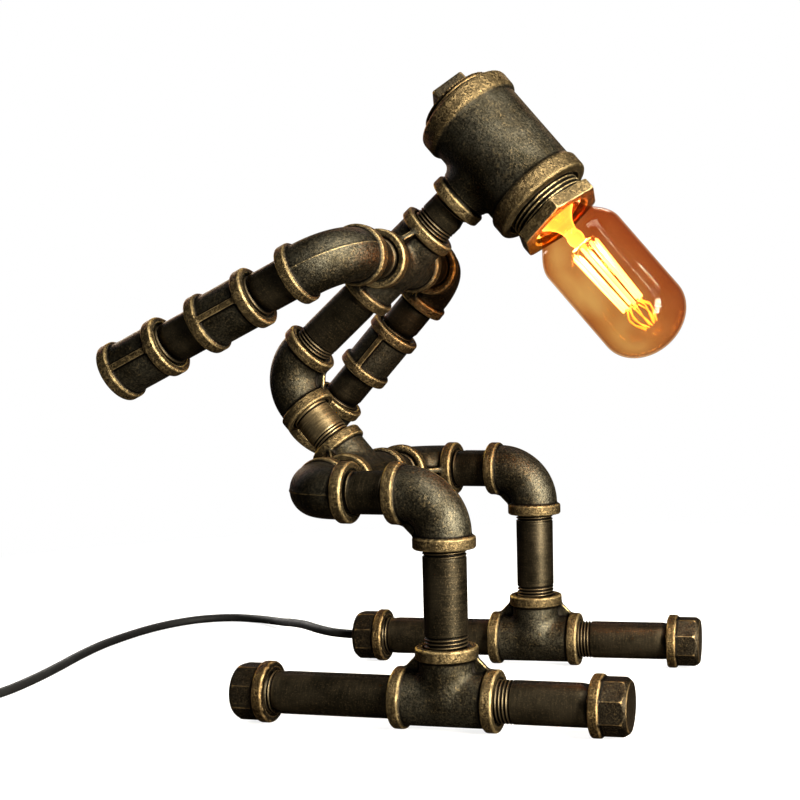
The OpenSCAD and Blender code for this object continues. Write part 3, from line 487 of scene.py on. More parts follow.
def pipe(
    node, place, gap, turns, body="root",
    slot="pipe_steel", mat=None, shiny=0.0, depth=THREAD_DEPTH,
):
    """A nipple along +Z, bare from 0 to gap, with turns = (at its start, at its
    end) of its thread left in view. It is of STEEL unless mat is given."""
    count = 64
    a = np.linspace(0, 2 * math.pi, count, endpoint=False)
    whole = turns[0] + turns[1] >= gap / PITCH
    stops = [0.0]
    while stops[-1] < gap:
        z = stops[-1]
        threaded_here = whole or z < (turns[0] + 0.6) * PITCH or z > gap - (turns[1] + 0.8) * PITCH
        stops.append(min(gap, z + (PITCH / 6 if threaded_here else 4.0)))
    profile, curve = [], []

    def plain(*rings):
        for r, z in rings:
            profile.append((r, z))
            curve.append(np.zeros(count))

    end, hidden, inner = THREAD_IN, PIPE_R - 0.1, PIPE_R - PIPE_CHAMFER
    plain((BORE_R, -end), (inner, -end), (hidden, PIPE_CHAMFER - end), (hidden, -1.5))
    for z in stops:
        near = np.clip(turns[0] + 0.5 - z / PITCH, 0, 1) if turns[0] else 0.0
        far = np.clip(turns[1] + 0.5 - (gap - z) / PITCH, 0, 1) if turns[1] else 0.0
        strength = 1.0 if whole else max(near, far)
        wave = 0.5 + 0.5 * np.cos(2 * math.pi * z / PITCH - a)
        profile.append((PIPE_R - depth * strength * wave**1.3, z))
        curve.append(strength * (1 - 2 * wave))
    end += gap
    plain((hidden, gap + 1.5), (hidden, end - PIPE_CHAMFER), (inner, end), (BORE_R, end))
    points, faces = lathe(profile, count, closed=True)
    grain = points + [0, 0, 300.0 * (sum(map(ord, node)) % 17)]
    threads = np.concatenate([np.abs(c) > 0 for c in curve]).astype(float)
    piece = add_piece(
        node + "_pipe", points, faces, place, body, (node,), slot,
        grain=grain, curve=np.concatenate(curve), zone=np.maximum(threads, shiny),
    )
    piece.data.materials.append(mat or STEEL)


# ---- Materials ----


class Shade:
    """A material's nodes, made from short calls. A value may be a socket."""

    def __init__(self, name):
        self.material = bpy.data.materials.new(name)
        self.material.use_nodes = True
        self.tree = self.material.node_tree
        self.tree.nodes.clear()

    def node(self, kind, inputs=(), **settings):
        made = self.tree.nodes.new(kind)
        for key, value in settings.items():
            setattr(made, key, value)
        for key, value in dict(inputs).items():
            self.put(made.inputs[key], value)
        return made

    def put(self, socket, value):
        if isinstance(value, bpy.types.NodeSocket):
            self.tree.links.new(value, socket)
        elif value is not None:
            bare = socket.type == "RGBA" and len(value) == 3
            socket.default_value = (*value, 1.0) if bare else value

    def mark(self, name, vector=False):
        made = self.node("ShaderNodeAttribute", attribute_name=name)
        return made.outputs["Vector" if vector else "Fac"]

    def place(self):
        return self.node("ShaderNodeTexCoord").outputs["Object"]

    def scaled(self, vector, scale):
        return self.node("ShaderNodeMapping", {"Vector": vector, "Scale": scale}).outputs[0]

    def noise(self, vector, scale, detail=3.0, rough=0.6):
        inputs = {"Vector": vector, "Scale": scale, "Detail": detail, "Roughness": rough}
        return self.node("ShaderNodeTexNoise", inputs).outputs["Fac"]

    def math(self, operation, a, b=0.0):
        made = self.node("ShaderNodeMath", operation=operation)
        self.put(made.inputs[0], a)
        self.put(made.inputs[1], b)
        return made.outputs[0]

    def vector(self, operation, a, b=(0.0, 0.0, 0.0)):
        made = self.node("ShaderNodeVectorMath", {0: a, 1: b}, operation=operation)
        return made.outputs["Vector" if operation == "SUBTRACT" else "Value"]

    def ramp(self, value, low, high, to_low=0.0, to_high=1.0):
        inputs = {"Value": value, "From Min": low, "From Max": high}
        inputs |= {"To Min": to_low, "To Max": to_high}
        return self.node("ShaderNodeMapRange", inputs, clamp=True).outputs["Result"]

    def mix(self, amount, a, b):
        made = self.node("ShaderNodeMix", data_type="RGBA")
        self.put(made.inputs[0], amount)
        self.put(made.inputs[6], a)
        self.put(made.inputs[7], b)
        return made.outputs[2]

    def bump(self, height, distance, strength=1.0, normal=None):
        inputs = {"Height": height, "Distance": distance, "Strength": strength, "Normal": normal}
        return self.node("ShaderNodeBump", inputs).outputs["Normal"]

    def principled(self, color, roughness, normal=None, **extra):
        inputs = {"Base Color": color, "Roughness": roughness, "Normal": normal}
        inputs.update({key.replace("_", " "): value for key, value in extra.items()})
        return self.node("ShaderNodeBsdfPrincipled", inputs).outputs["BSDF"]

    def done(self, shader):
        self.node("ShaderNodeOutputMaterial", {"Surface": shader})
        return self.material


def times(color, factor):
    return tuple(factor * c for c in color)


def grey(value):
    return (value, value, value)


def iron(name, dark, light, gold, edge, roughness):
    """Blackened casting rubbed back to bronze: dark body with fine flecks,
    granular beads, worn edges, and painted shade laid near black into its corners and grooves."""
    s = Shade(name)
    grain, curve, zone = s.mark("grain", True), s.mark("curve"), s.mark("zone")
    fine, mid = s.noise(grain, 1.0, 4.0, 0.75), s.noise(grain, 0.3, 4.0)
    wide = s.noise(grain, 0.05, 3.0)
    body = s.mix(s.ramp(wide, 0.35, 0.65), dark, light)
    body = s.mix(s.ramp(fine, 0.56, 0.4, 0.0, 0.75), body, times(dark, 0.3))
    fleck = s.math("MULTIPLY", s.ramp(fine, 0.52, 0.66), s.ramp(mid, 0.4, 0.65))
    body = s.mix(s.math("MULTIPLY", fleck, 0.5), body, gold)
    bead = s.mix(s.ramp(fine, 0.46, 0.56), times(gold, 0.1), times(gold, 1.15))
    bead = s.mix(s.ramp(mid, 0.62, 0.36), bead, times(gold, 0.3))
    color = s.mix(s.math("MULTIPLY", zone, 0.9), body, bead)
    worn = s.math("MULTIPLY", s.ramp(curve, 0.45, 0.95), s.ramp(mid, 0.35, 0.6, 0.15, 0.9))
    color = s.mix(worn, color, edge)
    # painted shade: grooves and corners (curve below zero) are darkened towards near black
    color = s.mix(s.ramp(curve, -0.08, -0.5), color, PAINTED_CREASE_SHADE)
    rough = s.ramp(fine, 0.3, 0.7, roughness - 0.1, roughness + 0.12)
    normal = s.bump(s.noise(grain, 0.18, 2.0), 0.0006, 0.5)
    normal = s.bump(fine, 0.0004, s.ramp(zone, 0, 1, 0.7, 1.0), normal)
    return s.done(s.principled(color, rough, normal, Metallic=0.95, Specular_Tint=EDGE_TINT))


def steel(name, dark, light, bright, roughness, lined=0.12):
    """Oiled pipe with faint turned lines; the crests of its threads are bright, and painted shade
    darkens the roots between them.
    """
    s = Shade(name)
    grain, curve, zone = s.mark("grain", True), s.mark("curve"), s.mark("zone")
    lines = s.noise(s.scaled(grain, (0.1, 0.1, 1.6)), 1.0, 3.0, 0.6)
    cloud = s.noise(s.scaled(grain, (0.07, 0.07, 0.035)), 1.0, 4.0)
    fine = s.noise(grain, 1.4, 3.0)
    color = s.mix(s.ramp(cloud, 0.4, 0.65), dark, light)
    color = s.mix(s.math("MULTIPLY", s.ramp(lines, 0.5, 0.75), lined), color, bright)
    color = s.mix(s.math("MULTIPLY", s.ramp(fine, 0.55, 0.7), 0.35), color, bright)
    crest = s.math("MULTIPLY", s.ramp(curve, 0.4, 1.0), zone)
    color = s.mix(s.math("MULTIPLY", crest, 0.5), color, bright)
    # painted shade: the thread roots (curve below zero) are darkened towards near black
    color = s.mix(s.ramp(curve, 0.1, -0.5), color, PAINTED_CREASE_SHADE)
    rough = s.ramp(lines, 0.3, 0.7, roughness - 0.05, roughness + 0.1)
    normal = s.bump(lines, 0.00005, 0.4, s.bump(fine, 0.00012, 0.4))
    return s.done(s.principled(color, rough, normal, Metallic=0.95, Specular_Tint=EDGE_TINT))


def plastic(name, color, other, roughness, grain_scale=900.0, depth=0.00006, metallic=0.0, **extra):
    """A moulded or plated surface with a faint grain and uneven gloss."""
    s = Shade(name)
    at = s.place()
    fine, wide = s.noise(at, grain_scale, 2.0), s.noise(at, 60.0, 3.0)
    shade = s.mix(s.ramp(wide, 0.35, 0.65), color, other)
    rough = s.ramp(s.noise(at, 200.0, 3.0), 0.3, 0.7, roughness - 0.05, roughness + 0.08)
    return s.done(s.principled(shade, rough, s.bump(fine, depth, 0.6), Metallic=metallic, **extra))


def glowing(name, color, strength, rim):
    """A stick or wire: white-hot along its middle, the rim's colour at its sides."""
    s = Shade(name)
    side = s.node("ShaderNodeLayerWeight", {"Blend": 0.35}).outputs["Facing"]
    glow = s.mix(s.ramp(side, 0.25, 0.9), color, rim)
    coat = (0.9, 0.6, 0.25)
    return s.done(s.principled(coat, 0.4, Emission_Color=glow, Emission_Strength=strength))


def tinted_glass(name, through, edge, gloss, streaky=0.0, glow=0.0, painted_shade=None):
    """Thin glass: what is behind shows through its tint, deeper at its rim.
    Its last argument (centre, across, dark) paints shade: the tint is darker on the side that
    across points to."""
    s = Shade(name)
    side = s.node("ShaderNodeLayerWeight", {"Blend": 0.5}).outputs["Facing"]
    haze = s.noise(s.place(), 22.0, 2.0, 0.5)
    tint = s.mix(s.ramp(side, 0.3, 0.9, 0.0, 0.6), through, edge)
    tint = s.mix(s.ramp(haze, 0.4, 0.62, 0.0, streaky), tint, edge)
    # painted shade: the tint is darkened on the side of the bulb that across points to
    if painted_shade:
        centre, across, dark = painted_shade
        shade_side = s.vector("DOT_PRODUCT", s.vector("SUBTRACT", s.place(), centre), across)
        tint = s.mix(s.ramp(shade_side, -0.012, 0.024, 0.0, 0.8), tint, dark)
    clear = s.node("ShaderNodeBsdfTransparent", {"Color": tint}).outputs[0]
    normal = s.bump(s.noise(s.place(), 30.0, 1.0), 0.0003, 0.1)
    # painted light: with glow above zero, the glass's gloss layer emits warm orange light, as if
    # lit from inside
    shine = s.principled(
        (0.02, 0.008, 0.003), 0.04, normal, Specular_IOR_Level=1.0, Specular_Tint=gloss,
        Emission_Color=(1.0, 0.6, 0.16), Emission_Strength=glow,
    )
    amount = s.ramp(s.math("POWER", side, 5.0), 0.0, 1.0, 0.06, 0.4)
    return s.done(s.node("ShaderNodeMixShader", {0: amount, 1: clear, 2: shine}).outputs[0])


# The second colour is painted shade: near black laid into grooves, corners and thread roots
EDGE_TINT, PAINTED_CREASE_SHADE = (0.35, 0.3, 0.24), (0.003, 0.0025, 0.002)
IRON = iron(
    "iron", dark=(0.012, 0.01, 0.006), light=(0.036, 0.033, 0.024),
    gold=(0.12, 0.085, 0.04), edge=(0.34, 0.25, 0.12), roughness=0.44,
)
IRON_DARK = iron(
    "iron_dark", dark=(0.01, 0.007, 0.004), light=(0.022, 0.018, 0.012),
    gold=(0.1, 0.066, 0.028), edge=(0.3, 0.2, 0.09), roughness=0.42,
)
STEEL = steel("steel", (0.009, 0.0075, 0.0045), (0.03, 0.024, 0.015), (0.12, 0.085, 0.045), 0.43)
BRONZE = steel("bronze", (0.045, 0.033, 0.016), (0.1, 0.075, 0.04), (0.26, 0.19, 0.1), 0.42, 0.6)
RUBBER = plastic("rubber", grey(0.0015), grey(0.003), 0.65, 1400.0, Specular_IOR_Level=0.1)
BLACK = plastic("black_plastic", grey(0.006), grey(0.01), 0.62, Specular_IOR_Level=0.08)
ROCKER = plastic("rocker_plastic", grey(0.01), grey(0.015), 0.5, Specular_IOR_Level=0.12)
NICKEL = plastic("nickel", (0.62, 0.6, 0.56), (0.5, 0.48, 0.44), 0.26, metallic=1.0)
BRASS = plastic("brass", (0.6, 0.43, 0.18), (0.45, 0.31, 0.12), 0.32, metallic=1.0)
CERAMIC = plastic("ceramic", (0.72, 0.69, 0.62), (0.66, 0.62, 0.55), 0.3)
GLASS_BLACK = plastic("black_glass", (0.01, 0.01, 0.012), (0.02, 0.02, 0.022), 0.15)
# the side of the bulb that the amber glass gets painted shade on
PAINTED_SHADE_SIDE = BULB.to_3x3() @ Vector((1, 0, 0))
AMBER = tinted_glass(
    "amber_glass", (0.96, 0.85, 0.62), (0.8, 0.55, 0.35), (1.0, 0.92, 0.8), streaky=1.0,
    painted_shade=(tuple(BULB.translation * MM), tuple(PAINTED_SHADE_SIDE), (0.77, 0.5, 0.35)),
)
# painted light: the stem glass glows orange through emission, standing in for the sticks' light
# falling on it
STEM = tinted_glass("stem_glass", (0.98, 0.88, 0.66), (0.85, 0.6, 0.3), (1.0, 0.85, 0.6), glow=40.0)
CROWN = glowing("warm_wires", (1.0, 0.5, 0.08), 2.5, (0.9, 0.25, 0.02))
LIGHT = glowing("light_sticks", (1.0, 0.78, 0.3), 9.0, (1.0, 0.36, 0.03))


def paint(piece, material):
    piece.data.materials.clear()
    piece.data.materials.append(material)


# ---- Cord ----

HEEL_TURN = math.radians(TOE_TURN["l"])
HEEL_DIR = np.array([-math.cos(HEEL_TURN), -math.sin(HEEL_TURN), 0.0])
HEEL_LEN = REACH + HEEL_GAP + CAP_RIM_W + CAP_END_LEN
CORD_EXIT = np.array([0, LEG_Y, FOOT_Z]) + HEEL_LEN * HEEL_DIR + BUSH_PROUD * HEEL_DIR
TO_SWITCH = [
    CORD_EXIT + STRAIGHT * HEEL_DIR,
    (-125, 64.6, 15.5), (-134.5, 69, 15.6), (-142.5, 74.3, 15.6), (-156, 86.5, 14.8),
    (-169, 100.5, 12.5), (-181, 115.7, 9.6), (-193.5, 131, 6.4), (-208, 145, 4),
    (-226, 154.5, 2.9), (-247, 156.5, CORD_R), (-265, 147, CORD_R), (-276, 129.5, CORD_R),
    (-281.5, 108, CORD_R), (-283, 84, CORD_R), (-282, 58, CORD_R), (-277, 28, CORD_R),
    (-270, -2, CORD_R), (-264.5, -30, CORD_R), (-261.5, -56, CORD_R), (-261, -76, 3.6),
    SWITCH_C + [0, SWITCH_END + STRAIGHT, SWITCH_CORD_Z],
]
TO_COIL = [
    SWITCH_C + [0, -SWITCH_END - STRAIGHT, SWITCH_CORD_Z],
    (-261, -182, 4), (-261, -192, 3), (-261, -203, CORD_R),
]
TO_PLUG = [
    (-319, -203, 13.5), (-319, -190, 13.3), (-319, -175, 9.2), (-319, -168, 7.6),
    MAINS_C + [0, -SLEEVE_L - STRAIGHT, MAINS_T / 2],
]


def flowing(points, steps=6):
    """The points joined by a smooth curve through all of them."""
    p = [np.array(q, float) for q in points]
    out = []
    for i in range(len(p) - 1):
        a, b, c, d = p[max(i - 1, 0)], p[i], p[i + 1], p[min(i + 2, len(p) - 1)]
        for k in range(steps):
            t = k / steps
            square, cube = 2 * a - 5 * b + 4 * c - d, 3 * b - a - 3 * c + d
            out.append(0.5 * (2 * b + (c - a) * t + square * t**2 + cube * t**3))
    return out + [p[-1]]


def eased(t):
    """0 to 1 as t goes from 0 to 1, with a soft start and end."""
    return 0.5 - 0.5 * math.cos(math.pi * min(max(t, 0.0), 1.0))


COIL_TURNS, COLUMN_CHANGE, CLIMB = 6.5, 0.3, 0.4  # in turns


def coil_points(steps=72):
    """The coil's turns, from its outer column inwards: two up, two down and
    two and a half up again, clockwise from its east side."""
    out = []
    for i in range(int(COIL_TURNS * steps) + 1):
        t = i / steps
        column = 1 - sum(eased((t - n) / COLUMN_CHANGE + 0.5) for n in (2, 4))
        late = eased((t % 1 - 1 + CLIMB) / CLIMB)
        if t < 2:
            level = int(t) + late
        elif t < 4:
            level = 2 - int(t - 2) - eased(t % 1 / CLIMB)
        else:
            level = min(int(t - 4) + late, 2)
        r = COIL_MID_R + column * CORD_D
        a = -2 * math.pi * t
        out.append(COIL_C + [r * math.cos(a), r * math.sin(a), CORD_R + level * CORD_D])
    return out


def make_cord():
    """One line from the heel to the plug, straight on through the switch."""
    route = [CORD_EXIT] + flowing(TO_SWITCH) + [SWITCH_C + [0, SWITCH_END, SWITCH_CORD_Z]]
    route += [SWITCH_C + [0, -SWITCH_END, SWITCH_CORD_Z]] + flowing(TO_COIL)
    route += coil_points()
    route += flowing(TO_PLUG) + [MAINS_C + [0, -SLEEVE_L, MAINS_T / 2]]
    route = [Vector(p) * MM for p in route]
    curve = bpy.data.curves.new("cord_line", "CURVE")
    curve.dimensions = "3D"
    curve.bevel_depth = CORD_R * MM
    curve.bevel_resolution = 4
    curve.use_fill_caps = True
    line = curve.splines.new("POLY")
    line.points.add(len(route) - 1)
    for point, at in zip(line.points, route):
        point.co = (*at, 1)
    curve.materials.append(RUBBER)
    piece = bpy.data.objects.new("cord_line", curve)
    bpy.context.scene.collection.objects.link(piece)
    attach(piece, "root")
    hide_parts("cord", "cord_coil")
    return piece


cord = make_cord()

# ---- Fittings ----

# The boxes that the shapes are looked for in, with 1 mm to spare
WIDE, LONG = BEAD_R + 1, REACH + 1
ELBOW_BOX = (-WIDE, -WIDE, -WIDE), (LONG, WIDE, LONG)
TEE_BOX = (-LONG, -WIDE, -WIDE), (LONG, WIDE, LONG)
CROSS_BOX = (-LONG, -WIDE, -LONG), (LONG, WIDE, LONG)
TUBE_BOX = (-WIDE, -WIDE, -1), (WIDE, WIDE, COUPLING_LEN + 1)
CAP_BOX = (-WIDE, -WIDE, -1), (WIDE, WIDE, CAP_RIM_W + CAP_END_LEN + 1)


def fitting(node, kind, shape, box, place, body="root", step=0.7, mat=IRON, slot="iron_fittings"):
    facts = {"replaces": (node,), "slot": slot}
    paint(casting(node + "_cast", kind, shape, *box, step, place, body, **facts), mat)


def elbow(node, place, body="root"):
    fitting(node, "elbow", elbow_shape, ELBOW_BOX, place, body)


def cap(node, place, outlet):
    """A cap whose rim is at place, on a pipe that comes from behind."""
    fitting(
        node, f"cap_{outlet}", lambda p: cap_shape(p, outlet), CAP_BOX, place,
        step=0.55, mat=IRON_DARK, slot="iron_caps",
    )


def make_leg(k, s):
    leg = shift(0, s * LEG_Y, 0)
    fitting(f"foot_tee_{k}", "tee", tee_shape, TEE_BOX, FOOT[k])
    elbow(f"knee_elbow_{k}", leg @ shift(z=KNEE_Z) @ turn(180, "Y"))
    elbow(f"hip_elbow_{k}", leg @ shift(HIP_X, 0, KNEE_Z) @ turn(90 * s, "X"))
    cap(f"toe_cap_{k}", FOOT[k] @ shift(REACH + TOE_GAP[k]) @ AHEAD, outlet=False)
    cap(f"heel_cap_{k}", FOOT[k] @ shift(-REACH - HEEL_GAP) @ BEHIND, outlet=k == "l")


def make_arm(k, s):
    body, at = f"arm_{k}", REACH + GAP
    elbow(f"shoulder_elbow_{k}", ARM[k] @ turn(90 * s, "X"), body)
    fitting(
        f"elbow_coupling_{k}", "coupling", lambda p: coupling_shape(p, False), TUBE_BOX,
        ARM[k] @ shift(at) @ AHEAD, body, step=0.6,
    )
    fitting(
        f"hand_coupling_{k}", "open_coupling", lambda p: coupling_shape(p, True), TUBE_BOX,
        ARM[k] @ shift(at + COUPLING_LEN + GAP) @ AHEAD, body, step=0.5,
    )


def make_trunk():
    fitting("hip_tee", "tee", tee_shape, TEE_BOX, TORSO @ turn(90, "Z"))
    elbow("back_elbow", TORSO @ shift(z=SPAN) @ turn(180, "X"))
    fitting("shoulder_cross", "cross", cross_shape, CROSS_BOX, CHEST @ turn(90, "X"))


def make_head():
    wide, half = HEAD_BEAD_R + 1, HEAD_HALF + 1
    box = (-HEAD_REACH - 1, -wide, -half), (wide, wide, half)
    fitting("head_tee", "head", head_shape, box, HEAD, "head", step=0.8)
    back, wide = HEAD @ turn(180, "X") @ shift(z=HEAD_HALF), 22
    box = (-wide, -wide, -THREAD_IN - 1), (wide, wide, PLUG_GAP + PLUG_SQUARE_LEN + 1)
    fitting(
        "crown_plug", "plug", plug_shape, box, back, "head",
        step=0.6, mat=IRON_DARK, slot="iron_caps",
    )
    wide = 26.5
    box = (-wide, -wide, HEAD_HALF - THREAD_IN - 1), (wide, wide, HEX_FRONT + 1)
    fitting("lamp_bushing", "bushing", bushing_shape, box, HEAD, "head", step=0.6)


def make_pipes():
    """The nipples, with the turns of thread that the photo shows at their ends."""
    for k, s in SIDES.items():
        foot, arm, outward = FOOT[k], ARM[k], aim((0, s, 0))
        shoulder = shift(*(CHEST.translation + Vector((0, s * REACH, 0))))
        forearm = arm @ shift(REACH + GAP + COUPLING_LEN)
        for node, place, gap, turns, body in (
            ("toe_nipple", foot @ shift(REACH) @ AHEAD, TOE_GAP[k], (4, 1), "root"),
            ("heel_nipple", foot @ shift(-REACH) @ BEHIND, HEEL_GAP, (0, 2), "root"),
            ("shin_pipe", shift(0, s * LEG_Y, FOOT_Z + REACH), SHIN_GAP, (3, 2), "root"),
            ("thigh_nipple", shift(-REACH, s * LEG_Y, KNEE_Z) @ BEHIND, GAP, (1, 1), "root"),
            ("hip_nipple", shift(HIP_X, s * REACH, KNEE_Z) @ outward, GAP, (1, 2), "root"),
            ("shoulder_nipple", shoulder @ outward, GAP, (2, 1), "root"),
            ("upper_arm_nipple", arm @ shift(REACH) @ AHEAD, GAP, (1, 2), f"arm_{k}"),
            ("forearm_nipple", forearm @ AHEAD, GAP, (1, 2), f"arm_{k}"),
        ):
            pipe(f"{node}_{k}", place, gap, turns, body)
    waist = TORSO @ shift(z=REACH)
    pipe("waist_nipple", waist, GAP, (3, 2), slot="bronze_nipple", mat=BRONZE, shiny=1.0, depth=0.6)
    pipe("torso_pipe", TORSO @ shift(REACH, 0, SPAN) @ AHEAD, TORSO_GAP, (3, 1))
    pipe("neck_nipple", TORSO @ shift(TORSO_SPAN + REACH, 0, SPAN) @ AHEAD, NECK_GAP, (3, 2))


for side, sign in SIDES.items():
    make_leg(side, sign)
    make_arm(side, sign)
make_trunk()
make_head()
make_pipes()

# ---- Bulb ----

NECK_R = BULB_CAP_R + 0.1
TAIL_R = BULB_CAP_R - BULB_CAP_WALL - 0.1


def glass_outline(t):
    """The glass drawn in by t, from its neck to its tip."""
    out, dome_q = [], GLASS_LEN - DOME_LEN
    for i in range(25):
        q = SHOULDER_LEN * i / 24
        swell = math.sin(math.pi / 2 * (q / SHOULDER_LEN) ** 0.85) ** 2
        out.append((NECK_R + (BULB_R - NECK_R) * swell - t, q))
    for i in range(1, 12):
        out.append((BULB_R - t, SHOULDER_LEN + (dome_q - SHOULDER_LEN) * i / 12))
    for i in range(25):
        a = math.pi / 2 * i / 24
        r = max((BULB_R - t) * math.cos(a), 0.02)
        out.append((r, dome_q + (DOME_LEN - t) * math.sin(a)))
    return out


def make_glass():
    tail = [(TAIL_R - GLASS_T, -5.0), (TAIL_R, -5.0), (TAIL_R, -0.3)]
    outline = tail + glass_outline(0) + glass_outline(GLASS_T)[::-1]
    shape = lathe(outline, 96, closed=True)
    glass = add_piece("bulb_glass_blown", *shape, BULB, "bulb", ("bulb_glass",), "amber_glass")
    paint(glass, AMBER)


def make_stem():
    """The flare in the bulb's neck, its flat pinch, and the rod up its middle."""
    flare, rod_r = TAIL_R - GLASS_T - 0.1, 1.5
    outline = [(0.02, -5), (flare, -5), (flare, -4.2), (10.4, -1.5), (7.5, 1.2), (5.2, 4.2)]
    outline += [(4, 7), (3.4, 9.5), (3.6, 10.8), (4.2, 12), (4.3, 14.5), (3.6, 16.2), (2.2, 17.6)]
    near, far = 19, STICK_Q + STICK_LEN + 2
    outline += [(rod_r, near + (far - near - 1) * i / 8) for i in range(9)]
    outline += [(1.2, far), (0.02, far)]
    shape = lathe(outline, 48)
    paint(add_piece("bulb_stem_glass", *shape, BULB, "bulb", ("bulb_stem",), "stem_glass"), STEM)


def rod(start, end, r, count=12, rings=10):
    """Points and faces of a round stick with rounded ends."""
    start, end = Vector(start), Vector(end)
    length = (end - start).length
    profile = [(0.01, 0), (0.6 * r, 0.1 * r), (r, 0.6 * r)]
    profile += [(r, 0.6 * r + (length - 1.2 * r) * i / rings) for i in range(1, rings + 1)]
    profile += [(0.6 * r, length - 0.1 * r), (0.01, length)]
    points, faces = lathe(profile, count)
    m = np.array(shift(*start) @ aim(end - start))
    return points @ m[:3, :3].T + m[:3, 3], faces


def joined(parts):
    """Several (points, faces) as one."""
    points, faces, base = [], [], 0
    for p, f in parts:
        points.append(p)
        faces += [tuple(i + base for i in face) for face in f]
        base += len(p)
    return np.concatenate(points), faces


def ray(r, a, q):
    """The point of the bulb at radius r, angle a and height q."""
    return Vector((r * math.cos(a), r * math.sin(a), q))


def stick_parts():
    """The eight light sticks, and the spiders' wires that hold their ends."""
    sticks, wires = [], []
    for k in range(STICKS):
        a = 2 * math.pi * k / STICKS
        near = ray(STICK_NEAR_R, a, STICK_Q)
        far = ray(STICK_FAR_R, a, STICK_Q + STICK_LEN)
        sticks.append(rod(near, far, STICK_R))
        hub, far_hub = Vector((0, 0, STICK_Q - 4)), Vector((0, 0, STICK_Q + STICK_LEN + 1.5))
        knee = Vector((near.x * 0.95, near.y * 0.95, STICK_Q - 2.5))
        for start, end in ((hub, knee), (knee, near), (far_hub, far)):
            wires.append(rod(start, end, WIRE_R, 6, 2))
    return sticks, wires


def crown_parts():
    """The bundle of warm wires past the sticks' far ends."""
    far_q = STICK_Q + STICK_LEN
    crown = []
    for k in range(CROWN_WIRES):
        a = 2 * math.pi * k / CROWN_WIRES
        outline = [(4.5, 0.5), (7.2, 5), (6.4, 9), (2.6 + 1.2 * (k % 2), 14)]
        bend = [ray(r, a + CROWN_TWIST * i, far_q + q) for i, (r, q) in enumerate(outline)]
        crown += [rod(start, end, CROWN_WIRE_R, 8, 2) for start, end in zip(bend, bend[1:])]
    return crown


def make_filaments():
    sticks, wires = stick_parts()
    for name, parts, replaces, slot, material in (
        ("light_sticks", sticks, ("bulb_filaments",), "filament", LIGHT),
        ("stick_crown", crown_parts(), (), "filament", CROWN),
        ("stick_wires", wires, (), "nickel", NICKEL),
    ):
        paint(add_piece(name, *joined(parts), BULB, "bulb", replaces, slot), material)


make_glass()
make_stem()
make_filaments()

# ---- Cord switch, plug and bush ----


def switch_shape(p):
    """A rounded box along Y with a parting line, a collar at each end for the
    cord, and a raised rim round the rocker's pocket."""
    x, y, z = split(p)
    walls = rounded(np.abs(x) - SWITCH_W / 2, np.abs(y) - SWITCH_L / 2, SWITCH_CORNER)
    box = rounded(walls, np.abs(z - SWITCH_H / 2) - SWITCH_H / 2, SWITCH_EDGE)
    groove = np.hypot(np.abs(walls), z - SWITCH_H / 2) - 0.5
    radial = np.hypot(x, z - SWITCH_CORD_Z)
    collars = ring(np.abs(y), radial, SWITCH_L / 2 - 2, SWITCH_END, COLLAR_R, 1.0)
    body = smooth_min(np.maximum(box, -groove), collars, 1.5)
    beside, along = np.abs(x) - ROCKER_W / 2, np.abs(y) - ROCKER_L / 2
    pocket = rounded(beside - ROCKER_FIT, along - ROCKER_FIT, 1.0)
    pocket = np.maximum(pocket, SWITCH_H - POCKET_DEPTH - z)
    raised = rounded(beside - POCKET_RIM, along - POCKET_RIM, 2.0)
    body = smooth_min(body, np.maximum(raised, np.abs(z - SWITCH_H + 0.8) - 1.1), 0.6)
    cord_way = np.maximum(radial - CORD_R, SWITCH_L / 2 - np.abs(y))
    return np.maximum(body, -np.minimum(pocket, cord_way)), box


def mains_shape(p):
    """The plug, wide at its pins along +Y, with a ribbed sleeve round the cord."""
    x, y, z = split(p)
    u = np.clip((y / MAINS_L - 0.35) / 0.4, 0, 1)
    half = GRIP_HALF + (MAINS_W / 2 - GRIP_HALF) * u * u * (3 - 2 * u)
    body = rounded(np.abs(x) - half, np.abs(z - MAINS_T / 2) - MAINS_T / 2, MAINS_EDGE)
    body = smooth_max(body, np.abs(y - MAINS_L / 2) - MAINS_L / 2, 1.6)
    radial = np.hypot(x, z - MAINS_T / 2)
    cone = radial - (SLEEVE_R - SLEEVE_TAPER * np.clip(-y / SLEEVE_L, 0, 1))
    wave = 1 - np.cos(2 * math.pi * (y + SLEEVE_L) / SLEEVE_PITCH)
    cone = cone + SLEEVE_RIB * wave * np.clip(-1.5 - y, 0, 1)
    cone = np.maximum(cone, np.maximum(y - 3, -SLEEVE_L - y))
    way = np.maximum(radial - CORD_R, y + SLEEVE_L - 2)
    return np.maximum(smooth_min(body, cone, 1.5), -way), body


SWITCH_BOX = (-14, -37, -1), (14, 37, SWITCH_H + 1.5)
MAINS_BOX = (-15, -SLEEVE_L - 1, -1), (15, MAINS_L + 1, MAINS_T + 1)


def make_cord_pieces():
    pieces = []
    for name, shape, box, at, node in (
        ("switch_case", switch_shape, SWITCH_BOX, SWITCH_C, "switch_housing"),
        ("mains_plug", mains_shape, MAINS_BOX, MAINS_C, "plug_body"),
    ):
        facts = {"replaces": (node,), "slot": "black_plastic"}
        pieces.append(casting(name, name, shape, *box, 0.6, shift(*at), "root", **facts))
        paint(pieces[-1], BLACK)
    pins = []
    for x in (-PIN_PITCH / 2, PIN_PITCH / 2):
        start, end = (x, MAINS_L - 1, MAINS_T / 2), (x, MAINS_L + PIN_L, MAINS_T / 2)
        pins.append(rod(start, end, PIN_R, 24, 6))
    pieces.append(
        add_piece("mains_pins", *joined(pins), shift(*MAINS_C), "root", ("plug_pins",), "nickel")
    )
    paint(pieces[-1], NICKEL)
    return pieces


